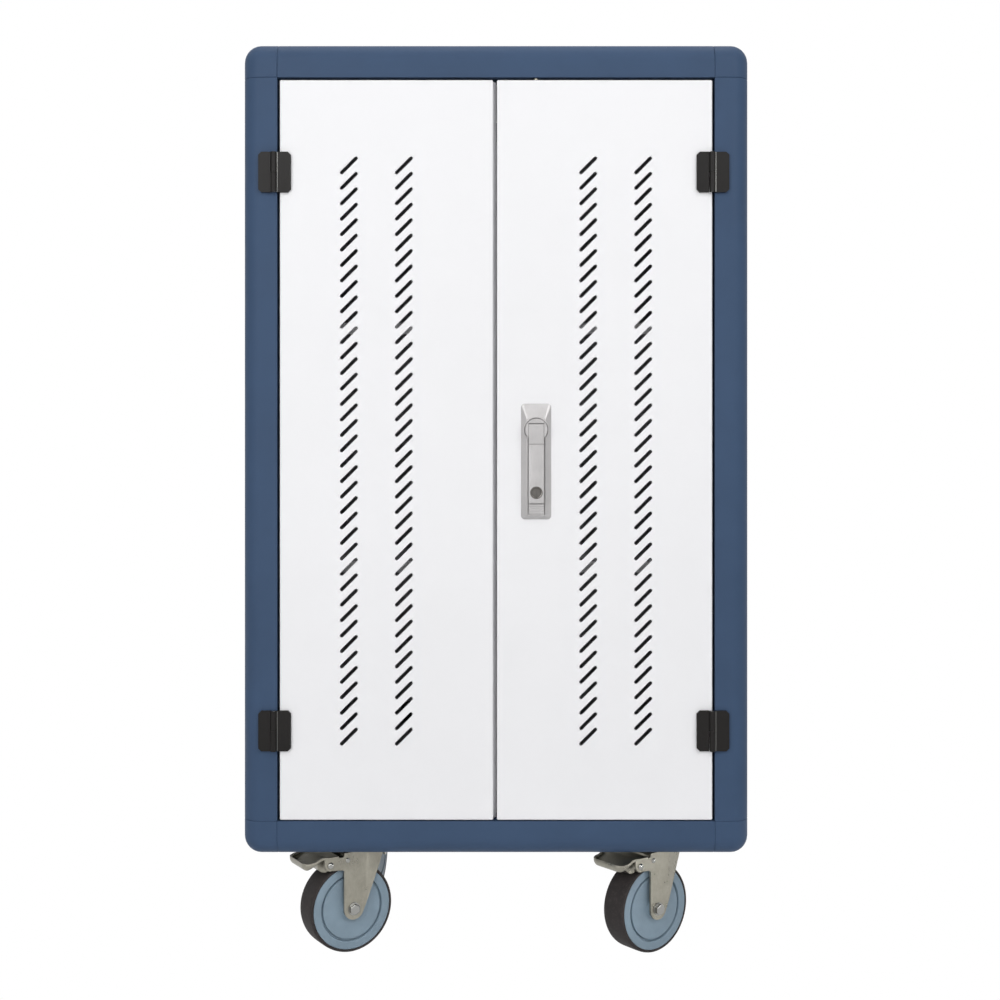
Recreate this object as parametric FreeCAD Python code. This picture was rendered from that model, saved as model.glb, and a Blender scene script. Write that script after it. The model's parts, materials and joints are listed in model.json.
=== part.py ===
import FreeCAD, Part
import math
import os

# Charging cabinet on swivel castors. Millimetres, +Z up, front face towards -Y.
# The origin lies on the floor, under the middle of the whole cabinet.

# Whole cabinet
width = 690.5
depth = 500.0
body_height = 1107.0
castor_height = 151.5
overrun = 1.0
seat = 0.3

# Frame profiles and corner pieces
band = 47.5
edge_radius = 24.0
profile_wall = 2.5

# Folded sheet panels
sheet = 1.5
panel_recess = 1.5
panel_return = 20.0
floor_sheet = 2.0

# Doors
door_depth = 18.0
door_lip = 12.0
door_side_gap = 3.4
door_top_gap = 3.5
door_foot_gap = 1.5
meeting_gap = 5.0
meeting_shift = -1.4
step_reach = 4.0
step_setback = 8.5
step_depth = 9.0
stiffener_width = 22.0
hat_foot = 8.0
stiffener_depth = 12.0
stiffener_margin = 60.0

# Slanted vent slots
slot_count = 38
slot_pitch = 21.0
slot_run = 19.4
slot_width = 5.0
slot_drop = 2.4
slot_end_corners = 3
column_pitch = 74.8
column_inset = 94.2
rear_slot_count = 6
rear_column_inset = 200.0
rear_slot_drop = 130.0

# Hinges
leaf_height = 55.0
leaf_thickness = 4.5
leaf_corner = 4.0
left_leaf_width = 21.1
right_leaf_width = 23.1
knuckle_radius = 4.0
knuckle_setout = 5.0
knuckle_gap = 0.3
leaf_gap = 0.5
hinge_pin_radius = 2.0
running_fit = 0.05
upper_hinge_drop = 177.0
lower_hinge_rise = 171.0
left_axis_outset = 4.0
right_axis_outset = -4.1

# Swing handle, with heights measured out from the door's face
handle_width = 40.8
handle_height = 157.0
handle_from_edge = 53.4
handle_above_middle = -14.2
base_corner = 4.8
base_side_slope = 7.6
base_head_slope = 19.6
base_foot_slope = 5.2
plateau_height = 8.0
rim_height = 1.2
rim_width = 1.4
rim_gap = 0.8
rim_drop = 72.8
hub_rise = 43.2
hub_radius = 15.0
hub_height = 15.5
hub_floor = 4.3
hub_fit = 0.3
spindle_radius = 6.0
spindle_hole_fit = 2.0
spindle_square = 7.0

# Lever of the handle
lever_width = 20.7
lever_top_rise = 51.7
lever_tip_drop = 57.0
lever_underside = 9.5
lever_thickness = 7.0
neck_thickness = 6.0
neck_end_rise = 24.3
grip_end_drop = 23.8
grip_depth = 2.2
grip_margin = 2.4
lever_slot_fit = 0.2
lever_pin_radius = 1.5
lever_pin_inset = 1.2
tip_clearance = 0.7

# Lock cylinder in the lever and release button in the base
cylinder_drop = 41.8
cylinder_radius = 8.5
cylinder_proud = 0.7
plug_radius = 6.2
plug_inset = 0.4
keyway_width = 1.4
keyway_height = 7.5
keyway_depth = 4.0
button_width = 20.7
button_height = 12.8
button_drop = 63.9
button_top = 13.0
button_travel = 2.5
button_floor = 2.0
button_fit = 0.2
button_ridge = 0.5
button_ridges = 3

# Rod drive behind the right door's face
gear_module = 4.0 / 3.0
gear_teeth = 12
pressure_angle = 25.0
gear_backlash = 0.12
gear_thickness = 6.0
gear_depth = 9.0
rack_width = 7.0
rack_thickness = 5.0
rack_teeth = 7
rack_lead = 1.5
rod_end_gap = 0.5
root_share = 1.25
rack_tip_share = 1.0
rod_radius = 4.0
rod_hole_fit = 0.5
handle_turn = 90.0
rack_clearance = 2.0
crosshead_height = 10.0
housing_depth = 14.9
guide_width = 24.0
guide_height = 12.0
guide_inset = 130.0
catch_width = 40.0
catch_height = 14.0
catch_depth = 12.0
catch_from_edge = 60.0

# Shelves, dividers and power strips
tier_count = 3
shelf_sheet = 2.0
shelf_front_setback = 46.0
rear_bay = 110.0
shelf_edge = 16.0
shelf_back_edge = 40.0
shelf_side_gap = 0.3
first_shelf_rise = 19.0
bracket_flange = 20.0
bracket_lap = 18.0
divider_slots = 10
divider_thickness = 2.0
divider_height = 190.0
divider_depth = 250.0
divider_setback = 30.0
divider_corner = 40.0
strip_length = 440.0
strip_height = 44.0
strip_depth = 40.0
strip_rise = 120.0
socket_width = 27.0
socket_height = 22.0
socket_depth = 2.0
socket_pitch = 42.0

# Mains inlet and rocker switch on the rear panel
inlet_width = 50.0
inlet_height = 28.0
inlet_proud = 3.0
inlet_depth = 24.0
inlet_mouth_width = 27.4
inlet_mouth_height = 19.8
inlet_mouth_chamfer = 5.0
inlet_mouth_depth = 17.0
inlet_from_side = 90.0
inlet_rise = 60.0
inlet_pin_width = 4.0
inlet_pin_thickness = 2.0
inlet_pin_spread = 7.0
inlet_pin_rise = 4.0
inlet_pin_length = 15.0
switch_spacing = 60.0
switch_width = 28.0
switch_height = 34.0
rocker_width = 18.0
rocker_height = 24.0
rocker_depth = 9.0
rocker_proud = 2.4
rocker_tilt = 8.0
rocker_fit = 1.0
rocker_pin_length = 2.0
rocker_pin_radius = 1.6
rocker_chamber = 18.0

# Castors
kingpin_spread = 210.3
kingpin_shift = 17.5
rear_kingpin_shift = 8.0
kingpin_setback = 90.0
front_left_yaw = 30.5
front_right_yaw = 38.0
rear_yaw = 85.0
trail = 22.0
wheel_radius = 62.5
wheel_width = 40.0
seat_sides = 24
rim_radius = 58.0
web_radius = 44.5
web_inset = 2.0
rim_setback = 0.5
hub_boss_radius = 14.0
hub_gap = 0.4
axle_radius = 6.0
axle_head_flats = 14.0
axle_head_height = 5.0
fork_gap = 23.5
fork_sheet = 3.0
fork_boss = 15.0
fork_rear = 26.5
crown_top = 142.0
shoulder_drop = 9.0
race_radius = 26.0
race_gap = 0.3
cup_radius = 29.0
kingpin_radius = 6.0
kingpin_nut_flats = 18.0
kingpin_nut_height = 4.2
plate_length = 104.0
plate_width = 80.0
plate_thickness = 3.0

# Brake pedals of the front castors
brake_reach = 37.0
brake_height = 128.5
horn_radius = 8.0
horn_root_drop = 10.0
brake_pin_radius = 3.0
brake_pin_end = 3.0
brake_turn = 20.0
pedal_half_width = 32.0
pedal_sheet = 2.5
ear_gap = 0.6
ear_half = 8.0
pedal_back = 12.0
pedal_flat = 7.0
pedal_rise = 9.2
pedal_slope_run = 22.0
pedal_slope_drop = 12.5
pedal_lip_radius = 7.5
pedal_lip_turn = 110.0
cam_radius = 11.4
cam_offset = 2.6
cam_lag = 75.0
cam_half_width = 14.0

# Places worked out from the sizes above
V = FreeCAD.Vector
X, Y, Z = V(1, 0, 0), V(0, 1, 0), V(0, 0, 1)
face_reach = lever_underside + lever_thickness + cylinder_proud
rear_reach = inlet_proud - panel_recess + rocker_proud
body_shift = (face_reach - rear_reach) / 2
left = -width / 2
right = width / 2
front = body_shift - depth / 2
rear = body_shift + depth / 2
bottom = castor_height
top = castor_height + body_height
bay_left = left + band
bay_right = right - band
bay_bottom = bottom + band
bay_top = top - band
door_foot = bay_bottom + door_foot_gap
door_head = bay_top - door_top_gap
door_back = front + door_depth
meeting_left = meeting_shift - meeting_gap / 2
meeting_right = meeting_shift + meeting_gap / 2
door_left = bay_left + door_side_gap
door_right = bay_right - door_side_gap
slot_middle = bottom + body_height / 2 - slot_drop
left_axis = bay_left - left_axis_outset
right_axis = bay_right + right_axis_outset
axis_front = front - knuckle_setout
hinge_heights = [top - upper_hinge_drop, bottom + lower_hinge_rise]
handle_x = meeting_right + handle_from_edge
handle_z = slot_middle + handle_above_middle
hub_z = handle_z + hub_rise
lever_pin_z = handle_z + lever_top_rise - neck_thickness / 2
lever_pin_y = front - lever_underside - neck_thickness / 2
pitch_radius = gear_module * gear_teeth / 2
rod_stroke = pitch_radius * math.radians(handle_turn)
rod_y = front + gear_depth
rear_inside = rear - panel_recess - sheet
first_level = bay_bottom + first_shelf_rise
tier_pitch = (bay_top - first_level) / tier_count
shelf_levels = [first_level + tier * tier_pitch for tier in range(tier_count)]
shelf_front = front + shelf_front_setback
shelf_back = rear - rear_bay
shelf_left = bay_left + shelf_sheet + shelf_side_gap
shelf_right = bay_right - shelf_sheet - shelf_side_gap
divider_pitch = (shelf_right - shelf_left) / divider_slots
divider_front = shelf_front + divider_setback
inlet_x = bay_left + inlet_from_side
inlet_z = bay_bottom + inlet_rise
switch_x = inlet_x + switch_spacing
rear_face = rear - panel_recess
rocker_axis_y = rear_face + inlet_proud - rocker_depth / 2
brake_place = V(trail + brake_reach, 0, brake_height)
axle_place = V(trail, 0, wheel_radius)
half_turn = 180.0
quarter_turn = 90.0


def block(low, high):
    """Box between two opposite corners."""
    size = high - low
    return Part.makeBox(size.x, size.y, size.z, low)


def cylinder(radius, start, end):
    """Round bar from one point to another."""
    return Part.makeCylinder(radius, (end - start).Length, start, end - start)


def prism(points, along):
    """Straight solid on a closed outline of points."""
    return Part.Face(Part.makePolygon(points + points[:1])).extrude(along)


def outline(edges):
    """Face inside a closed chain of lines and arcs."""
    return Part.Face(Part.Wire([edge.toShape() for edge in edges]))


def polar(centre, radius, degrees, across, up):
    """Point on a circle that lies in the plane of two unit directions."""
    angle = math.radians(degrees)
    return centre + across * (radius * math.cos(angle)) + up * (radius * math.sin(angle))


def arc(centre, radius, start, end, across, up):
    """Arc between two angles, in degrees, in the plane of two unit directions."""
    middle = (start + end) / 2
    return Part.Arc(*[polar(centre, radius, angle, across, up) for angle in (start, middle, end)])


def tangent_angle(centre, radius, point, across, up, side):
    """Angle at which a line from a point touches a circle, on one side of it."""
    away = point - centre
    heading = math.degrees(math.atan2(away.dot(up), away.dot(across)))
    return heading + side * math.degrees(math.acos(radius / away.Length))


def corner_outline(origin, across, inward, size, radius):
    """Square face with a rounded corner at its origin."""
    far = origin + across * size + inward * size
    centre = origin + (across + inward) * radius
    points = [origin + across * radius, origin + across * size, far, origin + inward * size,
              origin + inward * radius]
    edges = [Part.LineSegment(a, b) for a, b in zip(points, points[1:])]
    edges.append(arc(centre, radius, half_turn, half_turn + quarter_turn, across, inward))
    return outline(edges)


def profile(origin, across, inward, along):
    """Hollow frame profile, with its rounded edge along the outside of the cabinet."""
    core = origin + (across + inward) * profile_wall
    outer = corner_outline(origin, across, inward, band, edge_radius)
    inner = corner_outline(core, across, inward, band - 2 * profile_wall, edge_radius - profile_wall)
    return outer.extrude(along).cut(inner.extrude(along))


def rounded_plate(centre, across, up, plate_width, plate_height, radius):
    """Rectangular face with four round corners."""
    edges = []
    corners = [(1, 1), (-1, 1), (-1, -1), (1, -1)]
    arcs = []
    for quarter, (side, level) in enumerate(corners):
        middle = centre + across * (side * (plate_width / 2 - radius)) + up * (level * (plate_height / 2 - radius))
        start = quarter * quarter_turn
        arcs.append(arc(middle, radius, start, start + quarter_turn, across, up))
    for current, following in zip(arcs, arcs[1:] + arcs[:1]):
        edges.append(current)
        edges.append(Part.LineSegment(current.EndPoint, following.StartPoint))
    return outline(edges)


def tray(low, high, mouth, thickness, lip=0):
    """Folded sheet tray, open on the side that mouth points to, with a lip round its opening."""
    walls = V(thickness, thickness, thickness)
    beside = V(1 - abs(mouth.x), 1 - abs(mouth.y), 1 - abs(mouth.z))
    ahead = V(max(mouth.x, 0), max(mouth.y, 0), max(mouth.z, 0)) * (thickness + overrun)
    behind = V(min(mouth.x, 0), min(mouth.y, 0), min(mouth.z, 0)) * (thickness + overrun)
    inner_low, inner_high = low + walls, high - walls
    window = block(inner_low + beside * lip + behind, inner_high - beside * lip + ahead)
    return block(low, high).cut(block(inner_low, inner_high)).cut(window)


def frame_posts():
    """The four upright profiles."""
    rise = Z * (bay_top - bay_bottom)
    return {
        "front_left_post": profile(V(left, front, bay_bottom), X, Y, rise),
        "front_right_post": profile(V(right, front, bay_bottom), -X, Y, rise),
        "rear_posts": Part.makeCompound([profile(V(left, rear, bay_bottom), X, -Y, rise),
                                         profile(V(right, rear, bay_bottom), -X, -Y, rise)]),
    }


def rod_hole(z):
    """Cutter for the hole that a lock rod enters in a rail or a door's edge."""
    centre = V(handle_x, rod_y, z)
    return cylinder(rod_radius + rod_hole_fit, centre - Z * band / 2, centre + Z * band / 2)


def frame_rails():
    """Level profiles: the front two have a hole for the lock rods."""
    run = X * (bay_right - bay_left)
    reach = Y * (depth - 2 * band)
    top_rail = profile(V(bay_left, front, top), Y, -Z, run)
    bottom_rail = profile(V(bay_left, front, bottom), Y, Z, run)
    rear_rails = [profile(V(bay_left, rear, top), -Y, -Z, run), profile(V(bay_left, rear, bottom), -Y, Z, run)]
    side_rails = []
    for x, inward in ((left, X), (right, -X)):
        side_rails.append(profile(V(x, front + band, top), inward, -Z, reach))
        side_rails.append(profile(V(x, front + band, bottom), inward, Z, reach))
    return {
        "front_top_rail": top_rail.cut(rod_hole(bay_top)),
        "front_bottom_rail": bottom_rail.cut(rod_hole(bay_bottom)),
        "rear_rails": Part.makeCompound(rear_rails),
        "side_rails": Part.makeCompound(side_rails),
    }


def corner_piece(x, y, z):
    """Cast corner, rounded along the three edges that meet at the cabinet's corner."""
    outer = V(x, y, z)
    inner = V(x - math.copysign(band, x), y - math.copysign(band, y - body_shift), z)
    inner.z = z + band if z == bottom else z - band
    low = V(min(outer.x, inner.x), min(outer.y, inner.y), min(outer.z, inner.z))
    high = V(max(outer.x, inner.x), max(outer.y, inner.y), max(outer.z, inner.z))
    cube = block(low, high)
    meeting = [edge for edge in cube.Edges if any(v.Point.isEqual(outer, seat) for v in edge.Vertexes)]
    return cube.makeFillet(edge_radius, meeting)


def corner_pieces():
    """The eight corners of the frame."""
    corners = [corner_piece(x, y, z) for x in (left, right) for y in (front, rear) for z in (bottom, top)]
    return {"corner_pieces": Part.makeCompound(corners)}


def slot(x, y, z):
    """Cutter for one slanted vent slot, with many-sided ends, through a sheet on the +Y side of y."""
    along, beside = (X + Z).normalize(), (Z - X).normalize()
    reach = slot_run / math.sqrt(2)
    end_radius = slot_width / 2 / math.cos(math.radians(quarter_turn / slot_end_corners))
    points = []
    for end in (1, -1):
        centre = V(x, y, z) + along * (end * reach)
        for corner in range(slot_end_corners):
            degrees = half_turn * (corner + 0.5) / slot_end_corners - quarter_turn
            points.append(polar(centre, end_radius, degrees, along * end, beside * end))
    return prism(points, Y * (sheet + 2 * overrun))


def slot_columns(columns, y, first_z, count):
    """Cutters for columns of slots that rise from one height."""
    cutters = [slot(x, y - overrun, first_z + row * slot_pitch) for x in columns for row in range(count)]
    return Part.makeCompound(cutters)


def door_columns(side):
    """Middles of the slot columns of one door: side is -1 for the left door and 1 for the right."""
    hinge_edge = door_left if side < 0 else door_right
    outer = hinge_edge - side * column_inset
    return [outer, outer - side * column_pitch]


def door_panel(side):
    """Door tray with its vent slots."""
    near, far = (door_left, meeting_left) if side < 0 else (meeting_right, door_right)
    pan = tray(V(near, front, door_foot), V(far, door_back, door_head), Y, sheet, door_lip)
    first = slot_middle - slot_pitch * (slot_count - 1) / 2
    return pan.cut(slot_columns(door_columns(side), front, first, slot_count))


def left_door():
    """Left door with the set-back step that closes the gap between the doors."""
    low = V(meeting_left, front + step_setback, door_foot)
    step = block(low, low + V(step_reach, step_depth, door_head - door_foot))
    return door_panel(-1).fuse(step).removeSplitter()


def right_door():
    """Right door with the holes for its handle and its lock rods."""
    panel = door_panel(1)
    spindle_hole = cylinder(spindle_radius + spindle_hole_fit, V(handle_x, front - overrun, hub_z),
                            V(handle_x, front + sheet + overrun, hub_z))
    return panel.cut(spindle_hole).cut(rod_hole(door_head)).cut(rod_hole(door_foot))


def hat_channel(x, y, half_width, channel_depth, low, high):
    """Folded channel with two feet on a sheet at y and its crest inside the cabinet."""
    foot, crest = half_width + hat_foot, y + channel_depth
    across = [(-foot, y), (-half_width + sheet, y), (-half_width + sheet, crest - sheet),
              (half_width - sheet, crest - sheet), (half_width - sheet, y), (foot, y), (foot, y + sheet),
              (half_width, y + sheet), (half_width, crest), (-half_width, crest), (-half_width, y + sheet),
              (-foot, y + sheet)]
    return prism([V(x + dx, dy, low) for dx, dy in across], Z * (high - low))


def stiffener(side):
    """Channel on the inside of a door, between its two columns of slots."""
    x = sum(door_columns(side)) / 2
    low, high = door_foot + stiffener_margin, door_head - stiffener_margin
    return hat_channel(x, front + sheet, stiffener_width / 2, stiffener_depth, low, high)


def doors():
    """Both doors and their stiffeners."""
    return {
        "left_door_panel": left_door(),
        "right_door_panel": right_door(),
        "left_door_stiffener": stiffener(-1),
        "right_door_stiffener": stiffener(1),
    }


def outer_panels():
    """Top, floor and side panels between the frame's profiles."""
    x0, x1 = bay_left + seat, bay_right - seat
    y0, y1 = front + band + seat, rear - band - seat
    z0, z1 = bay_bottom + seat, bay_top - seat
    lid = top - panel_recess
    outside_left, outside_right = left + panel_recess, right - panel_recess
    return {
        "top_panel": tray(V(x0, y0, lid - panel_return), V(x1, y1, lid), -Z, sheet),
        "floor_panel": tray(V(x0, y0, bottom), V(x1, y1, bottom + panel_return), Z, floor_sheet),
        "left_side_panel": tray(V(outside_left, y0, z0), V(outside_left + panel_return, y1, z1), X, sheet),
        "right_side_panel": tray(V(outside_right - panel_return, y0, z0), V(outside_right, y1, z1), -X, sheet),
    }


def rear_panel():
    """Rear panel with vent slots and the openings for the inlet and the switch."""
    low = V(bay_left + seat, rear_face - panel_return, bay_bottom + seat)
    panel = tray(low, V(bay_right - seat, rear_face, bay_top - seat), -Y, sheet)
    columns = [bay_left + rear_column_inset, bay_right - rear_column_inset]
    first = bay_top - rear_slot_drop - slot_pitch * (rear_slot_count - 1)
    panel = panel.cut(slot_columns(columns, rear_inside, first, rear_slot_count))
    inlet = rounded_opening(inlet_x, inlet_width - 2 * inlet_mouth_chamfer, inlet_height - inlet_mouth_chamfer)
    switch = rounded_opening(switch_x, switch_width - inlet_mouth_chamfer, switch_height - inlet_mouth_chamfer)
    return {"rear_panel": panel.cut(inlet).cut(switch)}


def rounded_opening(x, opening_width, opening_height):
    """Cutter for an opening in the rear panel, centred on the height of the inlet."""
    low = V(x - opening_width / 2, rear_inside - overrun, inlet_z - opening_height / 2)
    return block(low, low + V(opening_width, sheet + 2 * overrun, opening_height))


def proud(distance):
    """Y of a surface that stands this far out from the doors' faces."""
    return front - distance


def hinge_leaf(axis_x, z, side, leaf_width, segment, bore):
    """Leaf with its knuckle: side is -1 where the plate lies left of the pin and 1 where it lies right."""
    inner = knuckle_radius + leaf_gap
    foot = z - leaf_height / 2
    across = [inner, leaf_width - leaf_corner, leaf_width, leaf_width, leaf_width - leaf_corner, inner]
    up = [0, 0, leaf_corner, leaf_height - leaf_corner, leaf_height, leaf_height]
    points = [V(axis_x + side * dx, front, foot + dz) for dx, dz in zip(across, up)]
    leaf = prism(points, -Y * leaf_thickness)
    step = leaf_height / 2
    low = V(axis_x, axis_front, foot + segment * step + knuckle_gap / 2)
    high = low + Z * (step - knuckle_gap)
    ends = sorted([axis_x, axis_x + side * (inner + leaf_gap)])
    web = block(V(ends[0], proud(leaf_thickness), low.z), V(ends[1], axis_front + knuckle_radius, high.z))
    leaf = leaf.fuse(cylinder(knuckle_radius, low, high)).fuse(web)
    return leaf.cut(cylinder(bore, low - Z * overrun, high + Z * overrun)).removeSplitter()


def hinges():
    """Four hinges: same-handed leaves, whose lower knuckles hold the pins."""
    loose = hinge_pin_radius + running_fit
    frame_leaves, left_leaves, right_leaves, pins = [], [], [], []
    for z in hinge_heights:
        frame_leaves.append(hinge_leaf(left_axis, z, -1, left_leaf_width, 0, hinge_pin_radius))
        frame_leaves.append(hinge_leaf(right_axis, z, 1, right_leaf_width, 0, hinge_pin_radius))
        left_leaves.append(hinge_leaf(left_axis, z, 1, right_leaf_width, 1, loose))
        right_leaves.append(hinge_leaf(right_axis, z, -1, left_leaf_width, 1, loose))
        for axis_x in (left_axis, right_axis):
            foot = V(axis_x, axis_front, z - leaf_height / 2)
            pins.append(cylinder(hinge_pin_radius, foot, foot + Z * leaf_height))
    return {
        "frame_hinge_leaves": Part.makeCompound(frame_leaves),
        "left_door_hinge_leaves": Part.makeCompound(left_leaves),
        "right_door_hinge_leaves": Part.makeCompound(right_leaves),
        "hinge_pins": Part.makeCompound(pins),
    }


def cut_corners(centre, plate_width, plate_height):
    """Upright rectangle with its corners cut off."""
    half, level, cut = plate_width / 2, plate_height / 2, base_corner
    quarter = [(half, level - cut), (half - cut, level), (cut - half, level), (-half, level - cut)]
    points = [centre + V(dx, 0, dz) for dx, dz in quarter + [(-dx, -dz) for dx, dz in quarter]]
    return Part.makePolygon(points + points[:1])


def handle_base():
    """Bevelled base with pockets for the hub and the button and a low rim along the lever."""
    centre = V(handle_x, front, handle_z)
    foot = cut_corners(centre, handle_width, handle_height)
    plateau = centre + V(0, -plateau_height, (base_foot_slope - base_head_slope) / 2)
    crown = cut_corners(plateau, handle_width - 2 * base_side_slope,
                        handle_height - base_head_slope - base_foot_slope)
    base = Part.makeLoft([foot, crown], True, True)
    rim_half = lever_width / 2 + rim_gap + rim_width
    low = V(handle_x - rim_half, proud(plateau_height + rim_height), handle_z - rim_drop)
    rim = block(low, V(handle_x + rim_half, proud(plateau_height), hub_z))
    inside = block(low + V(rim_width, 0, rim_width), V(handle_x + rim_half - rim_width, front, hub_z))
    base = base.fuse(rim.cut(inside))
    hub = V(handle_x, 0, hub_z)
    outside = Y * proud(hub_height)
    base = base.cut(cylinder(hub_radius + hub_fit, hub + Y * proud(hub_floor - hub_fit), hub + outside))
    base = base.cut(cylinder(spindle_radius + running_fit, hub + Y * (front + overrun), hub + outside))
    button = V(button_width / 2 + button_fit, 0, button_height / 2 + button_fit)
    middle = V(handle_x, 0, handle_z - button_drop)
    return base.cut(block(middle - button + outside, middle + button + Y * proud(button_floor)))


def handle_hub():
    """Disc with two cheeks for the lever, and the spindle with its square end."""
    hub = V(handle_x, 0, hub_z)
    floor = Y * proud(hub_floor)
    disc = cylinder(hub_radius, hub + floor, hub + Y * proud(hub_height))
    half = lever_width / 2 + lever_slot_fit
    low = V(handle_x - half, proud(hub_height + overrun), hub_z - hub_radius - overrun)
    high = V(handle_x + half, proud(lever_underside - hub_fit), handle_z + lever_top_rise + hub_fit)
    disc = disc.cut(block(low, high)).cut(lever_pin_bar(hub_radius, lever_pin_radius))
    square_start = rod_y - gear_thickness / 2
    square_end = rod_y + gear_thickness / 2 + overrun
    spindle = cylinder(spindle_radius, hub + floor, hub + Y * square_start)
    half_square = V(spindle_square / 2, 0, spindle_square / 2)
    square = block(hub - half_square + Y * square_start, hub + half_square + Y * square_end)
    return disc.fuse(spindle).fuse(square).removeSplitter()


def lever_pin_bar(reach, radius):
    """Bar along the lever's pivot, to the same reach on both sides."""
    middle = V(handle_x, lever_pin_y, lever_pin_z)
    return cylinder(radius, middle - X * reach, middle + X * reach)


def lever_tip_radius():
    """Distance from the hub to the lever's tip, which clears the release button as it turns."""
    return hub_z - (handle_z - button_drop + button_height / 2) - tip_clearance


def handle_lever():
    """Lever with a round pivot end, a dished grip and a hole for the lock cylinder."""
    under = proud(lever_underside)
    neck = proud(lever_underside + neck_thickness)
    crest = proud(lever_underside + lever_thickness)
    x = handle_x - lever_width / 2
    tip = handle_z - lever_tip_drop
    step = handle_z + neck_end_rise
    grip_top, grip_foot = step - grip_margin, handle_z - grip_end_drop
    pin = V(x, lever_pin_y, lever_pin_z)
    dish = V(x, crest + grip_depth, (grip_top + grip_foot) / 2)
    corners = [V(x, neck, lever_pin_z), V(x, neck, step), V(x, crest, step), V(x, crest, grip_top)]
    ending = [V(x, crest, grip_foot), V(x, crest, tip), V(x, under, tip), V(x, under, lever_pin_z)]
    edges = [Part.LineSegment(a, b) for a, b in zip(corners, corners[1:])]
    edges.append(Part.Arc(corners[-1], dish, ending[0]))
    edges += [Part.LineSegment(a, b) for a, b in zip(ending, ending[1:])]
    edges.append(arc(pin, neck_thickness / 2, 0, half_turn, Y, Z))
    lever = outline(edges).extrude(X * lever_width)
    hub = V(handle_x, 0, hub_z)
    swept = cylinder(lever_tip_radius(), hub + Y * (crest - overrun), hub + Y * (under + overrun))
    lock = lock_bar(cylinder_radius, lever_underside - overrun, lever_underside + lever_thickness + overrun)
    return lever.common(swept).cut(lock).cut(lever_pin_bar(lever_width, lever_pin_radius + running_fit))


def lock_bar(radius, start, end):
    """Bar along the lock cylinder's axis, between two distances from the door's face."""
    axis = V(handle_x, 0, handle_z - cylinder_drop)
    return cylinder(radius, axis + Y * proud(start), axis + Y * proud(end))


def lock_parts():
    """Sleeve in the lever and the key plug that turns in it."""
    end = lever_underside + lever_thickness + cylinder_proud
    sleeve = lock_bar(cylinder_radius, lever_underside, end).cut(lock_bar(plug_radius, lever_underside, end))
    face = end - plug_inset
    plug = lock_bar(plug_radius - running_fit, lever_underside, face)
    half = V(keyway_width / 2, 0, keyway_height / 2)
    axis = V(handle_x, 0, handle_z - cylinder_drop)
    keyway = block(axis - half + Y * proud(face + overrun), axis + half + Y * proud(face - keyway_depth))
    return {"lock_cylinder": sleeve, "key_plug": plug.cut(keyway)}


def release_button():
    """Push button under the lever's tip, with grooves across it."""
    floor = button_floor + button_travel + button_fit
    middle = V(handle_x, proud(floor), handle_z - button_drop)
    face = rounded_plate(middle, X, Z, button_width, button_height, button_ridge * 2)
    button = face.extrude(-Y * (button_top - floor))
    spacing = button_height / (button_ridges + 1)
    for row in range(button_ridges):
        z = middle.z - button_height / 2 + spacing * (row + 1)
        groove = block(V(handle_x - button_width, proud(button_top + overrun), z - button_ridge / 2),
                       V(handle_x + button_width, proud(button_top - button_ridge), z + button_ridge / 2))
        button = button.cut(groove)
    return button


def handle():
    """The swing handle's pieces."""
    pieces = {
        "handle_base": handle_base(),
        "handle_hub": handle_hub(),
        "handle_lever": handle_lever(),
        "lever_pin": lever_pin_bar(lever_width / 2 + lever_slot_fit + lever_pin_inset, lever_pin_radius),
        "release_button": release_button(),
    }
    pieces.update(lock_parts())
    return pieces


def tooth_half_angle(radius):
    """Half the angle, in radians, that a pinion tooth fills at a radius on its involute flanks."""
    base_radius = pitch_radius * math.cos(math.radians(pressure_angle))
    roll = math.sqrt((radius / base_radius) ** 2 - 1)
    pitch_roll = math.tan(math.radians(pressure_angle))
    at_pitch = math.pi / 2 / gear_teeth - gear_backlash / 4 / pitch_radius
    return at_pitch + pitch_roll - math.radians(pressure_angle) - roll + math.atan(roll)


def flank(turn, hand):
    """Points of one tooth flank from root to tip: hand is -1 or 1 for the two sides of the tooth."""
    base_radius = pitch_radius * math.cos(math.radians(pressure_angle))
    tip_radius = pitch_radius + gear_module
    places = [(pitch_radius - gear_module * root_share, base_radius), (base_radius, base_radius),
              ((base_radius + tip_radius) / 2,) * 2, (tip_radius, tip_radius)]
    centre = V(handle_x, 0, hub_z)
    return [polar(centre, radius, math.degrees(turn + hand * tooth_half_angle(flank_radius)), X, Z)
            for radius, flank_radius in places]


def drive_pinion():
    """Involute pinion with a square hole for the spindle's end."""
    edges = []
    for tooth in range(gear_teeth):
        turn = 2 * math.pi * tooth / gear_teeth
        rise, fall = flank(turn, -1), flank(turn, 1)
        following = flank(turn + 2 * math.pi / gear_teeth, -1)
        edges += [Part.LineSegment(rise[0], rise[1]), Part.Arc(*rise[1:]), Part.LineSegment(rise[3], fall[3]),
                  Part.Arc(fall[3], fall[2], fall[1]), Part.LineSegment(fall[1], fall[0]),
                  Part.LineSegment(fall[0], following[0])]
    pinion = outline(edges).extrude(Y * gear_thickness)
    pinion.translate(Y * (rod_y - gear_thickness / 2))
    half = V(spindle_square / 2 + running_fit, gear_thickness, spindle_square / 2 + running_fit)
    centre = V(handle_x, rod_y, hub_z)
    return pinion.cut(block(centre - half, centre + half))


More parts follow.
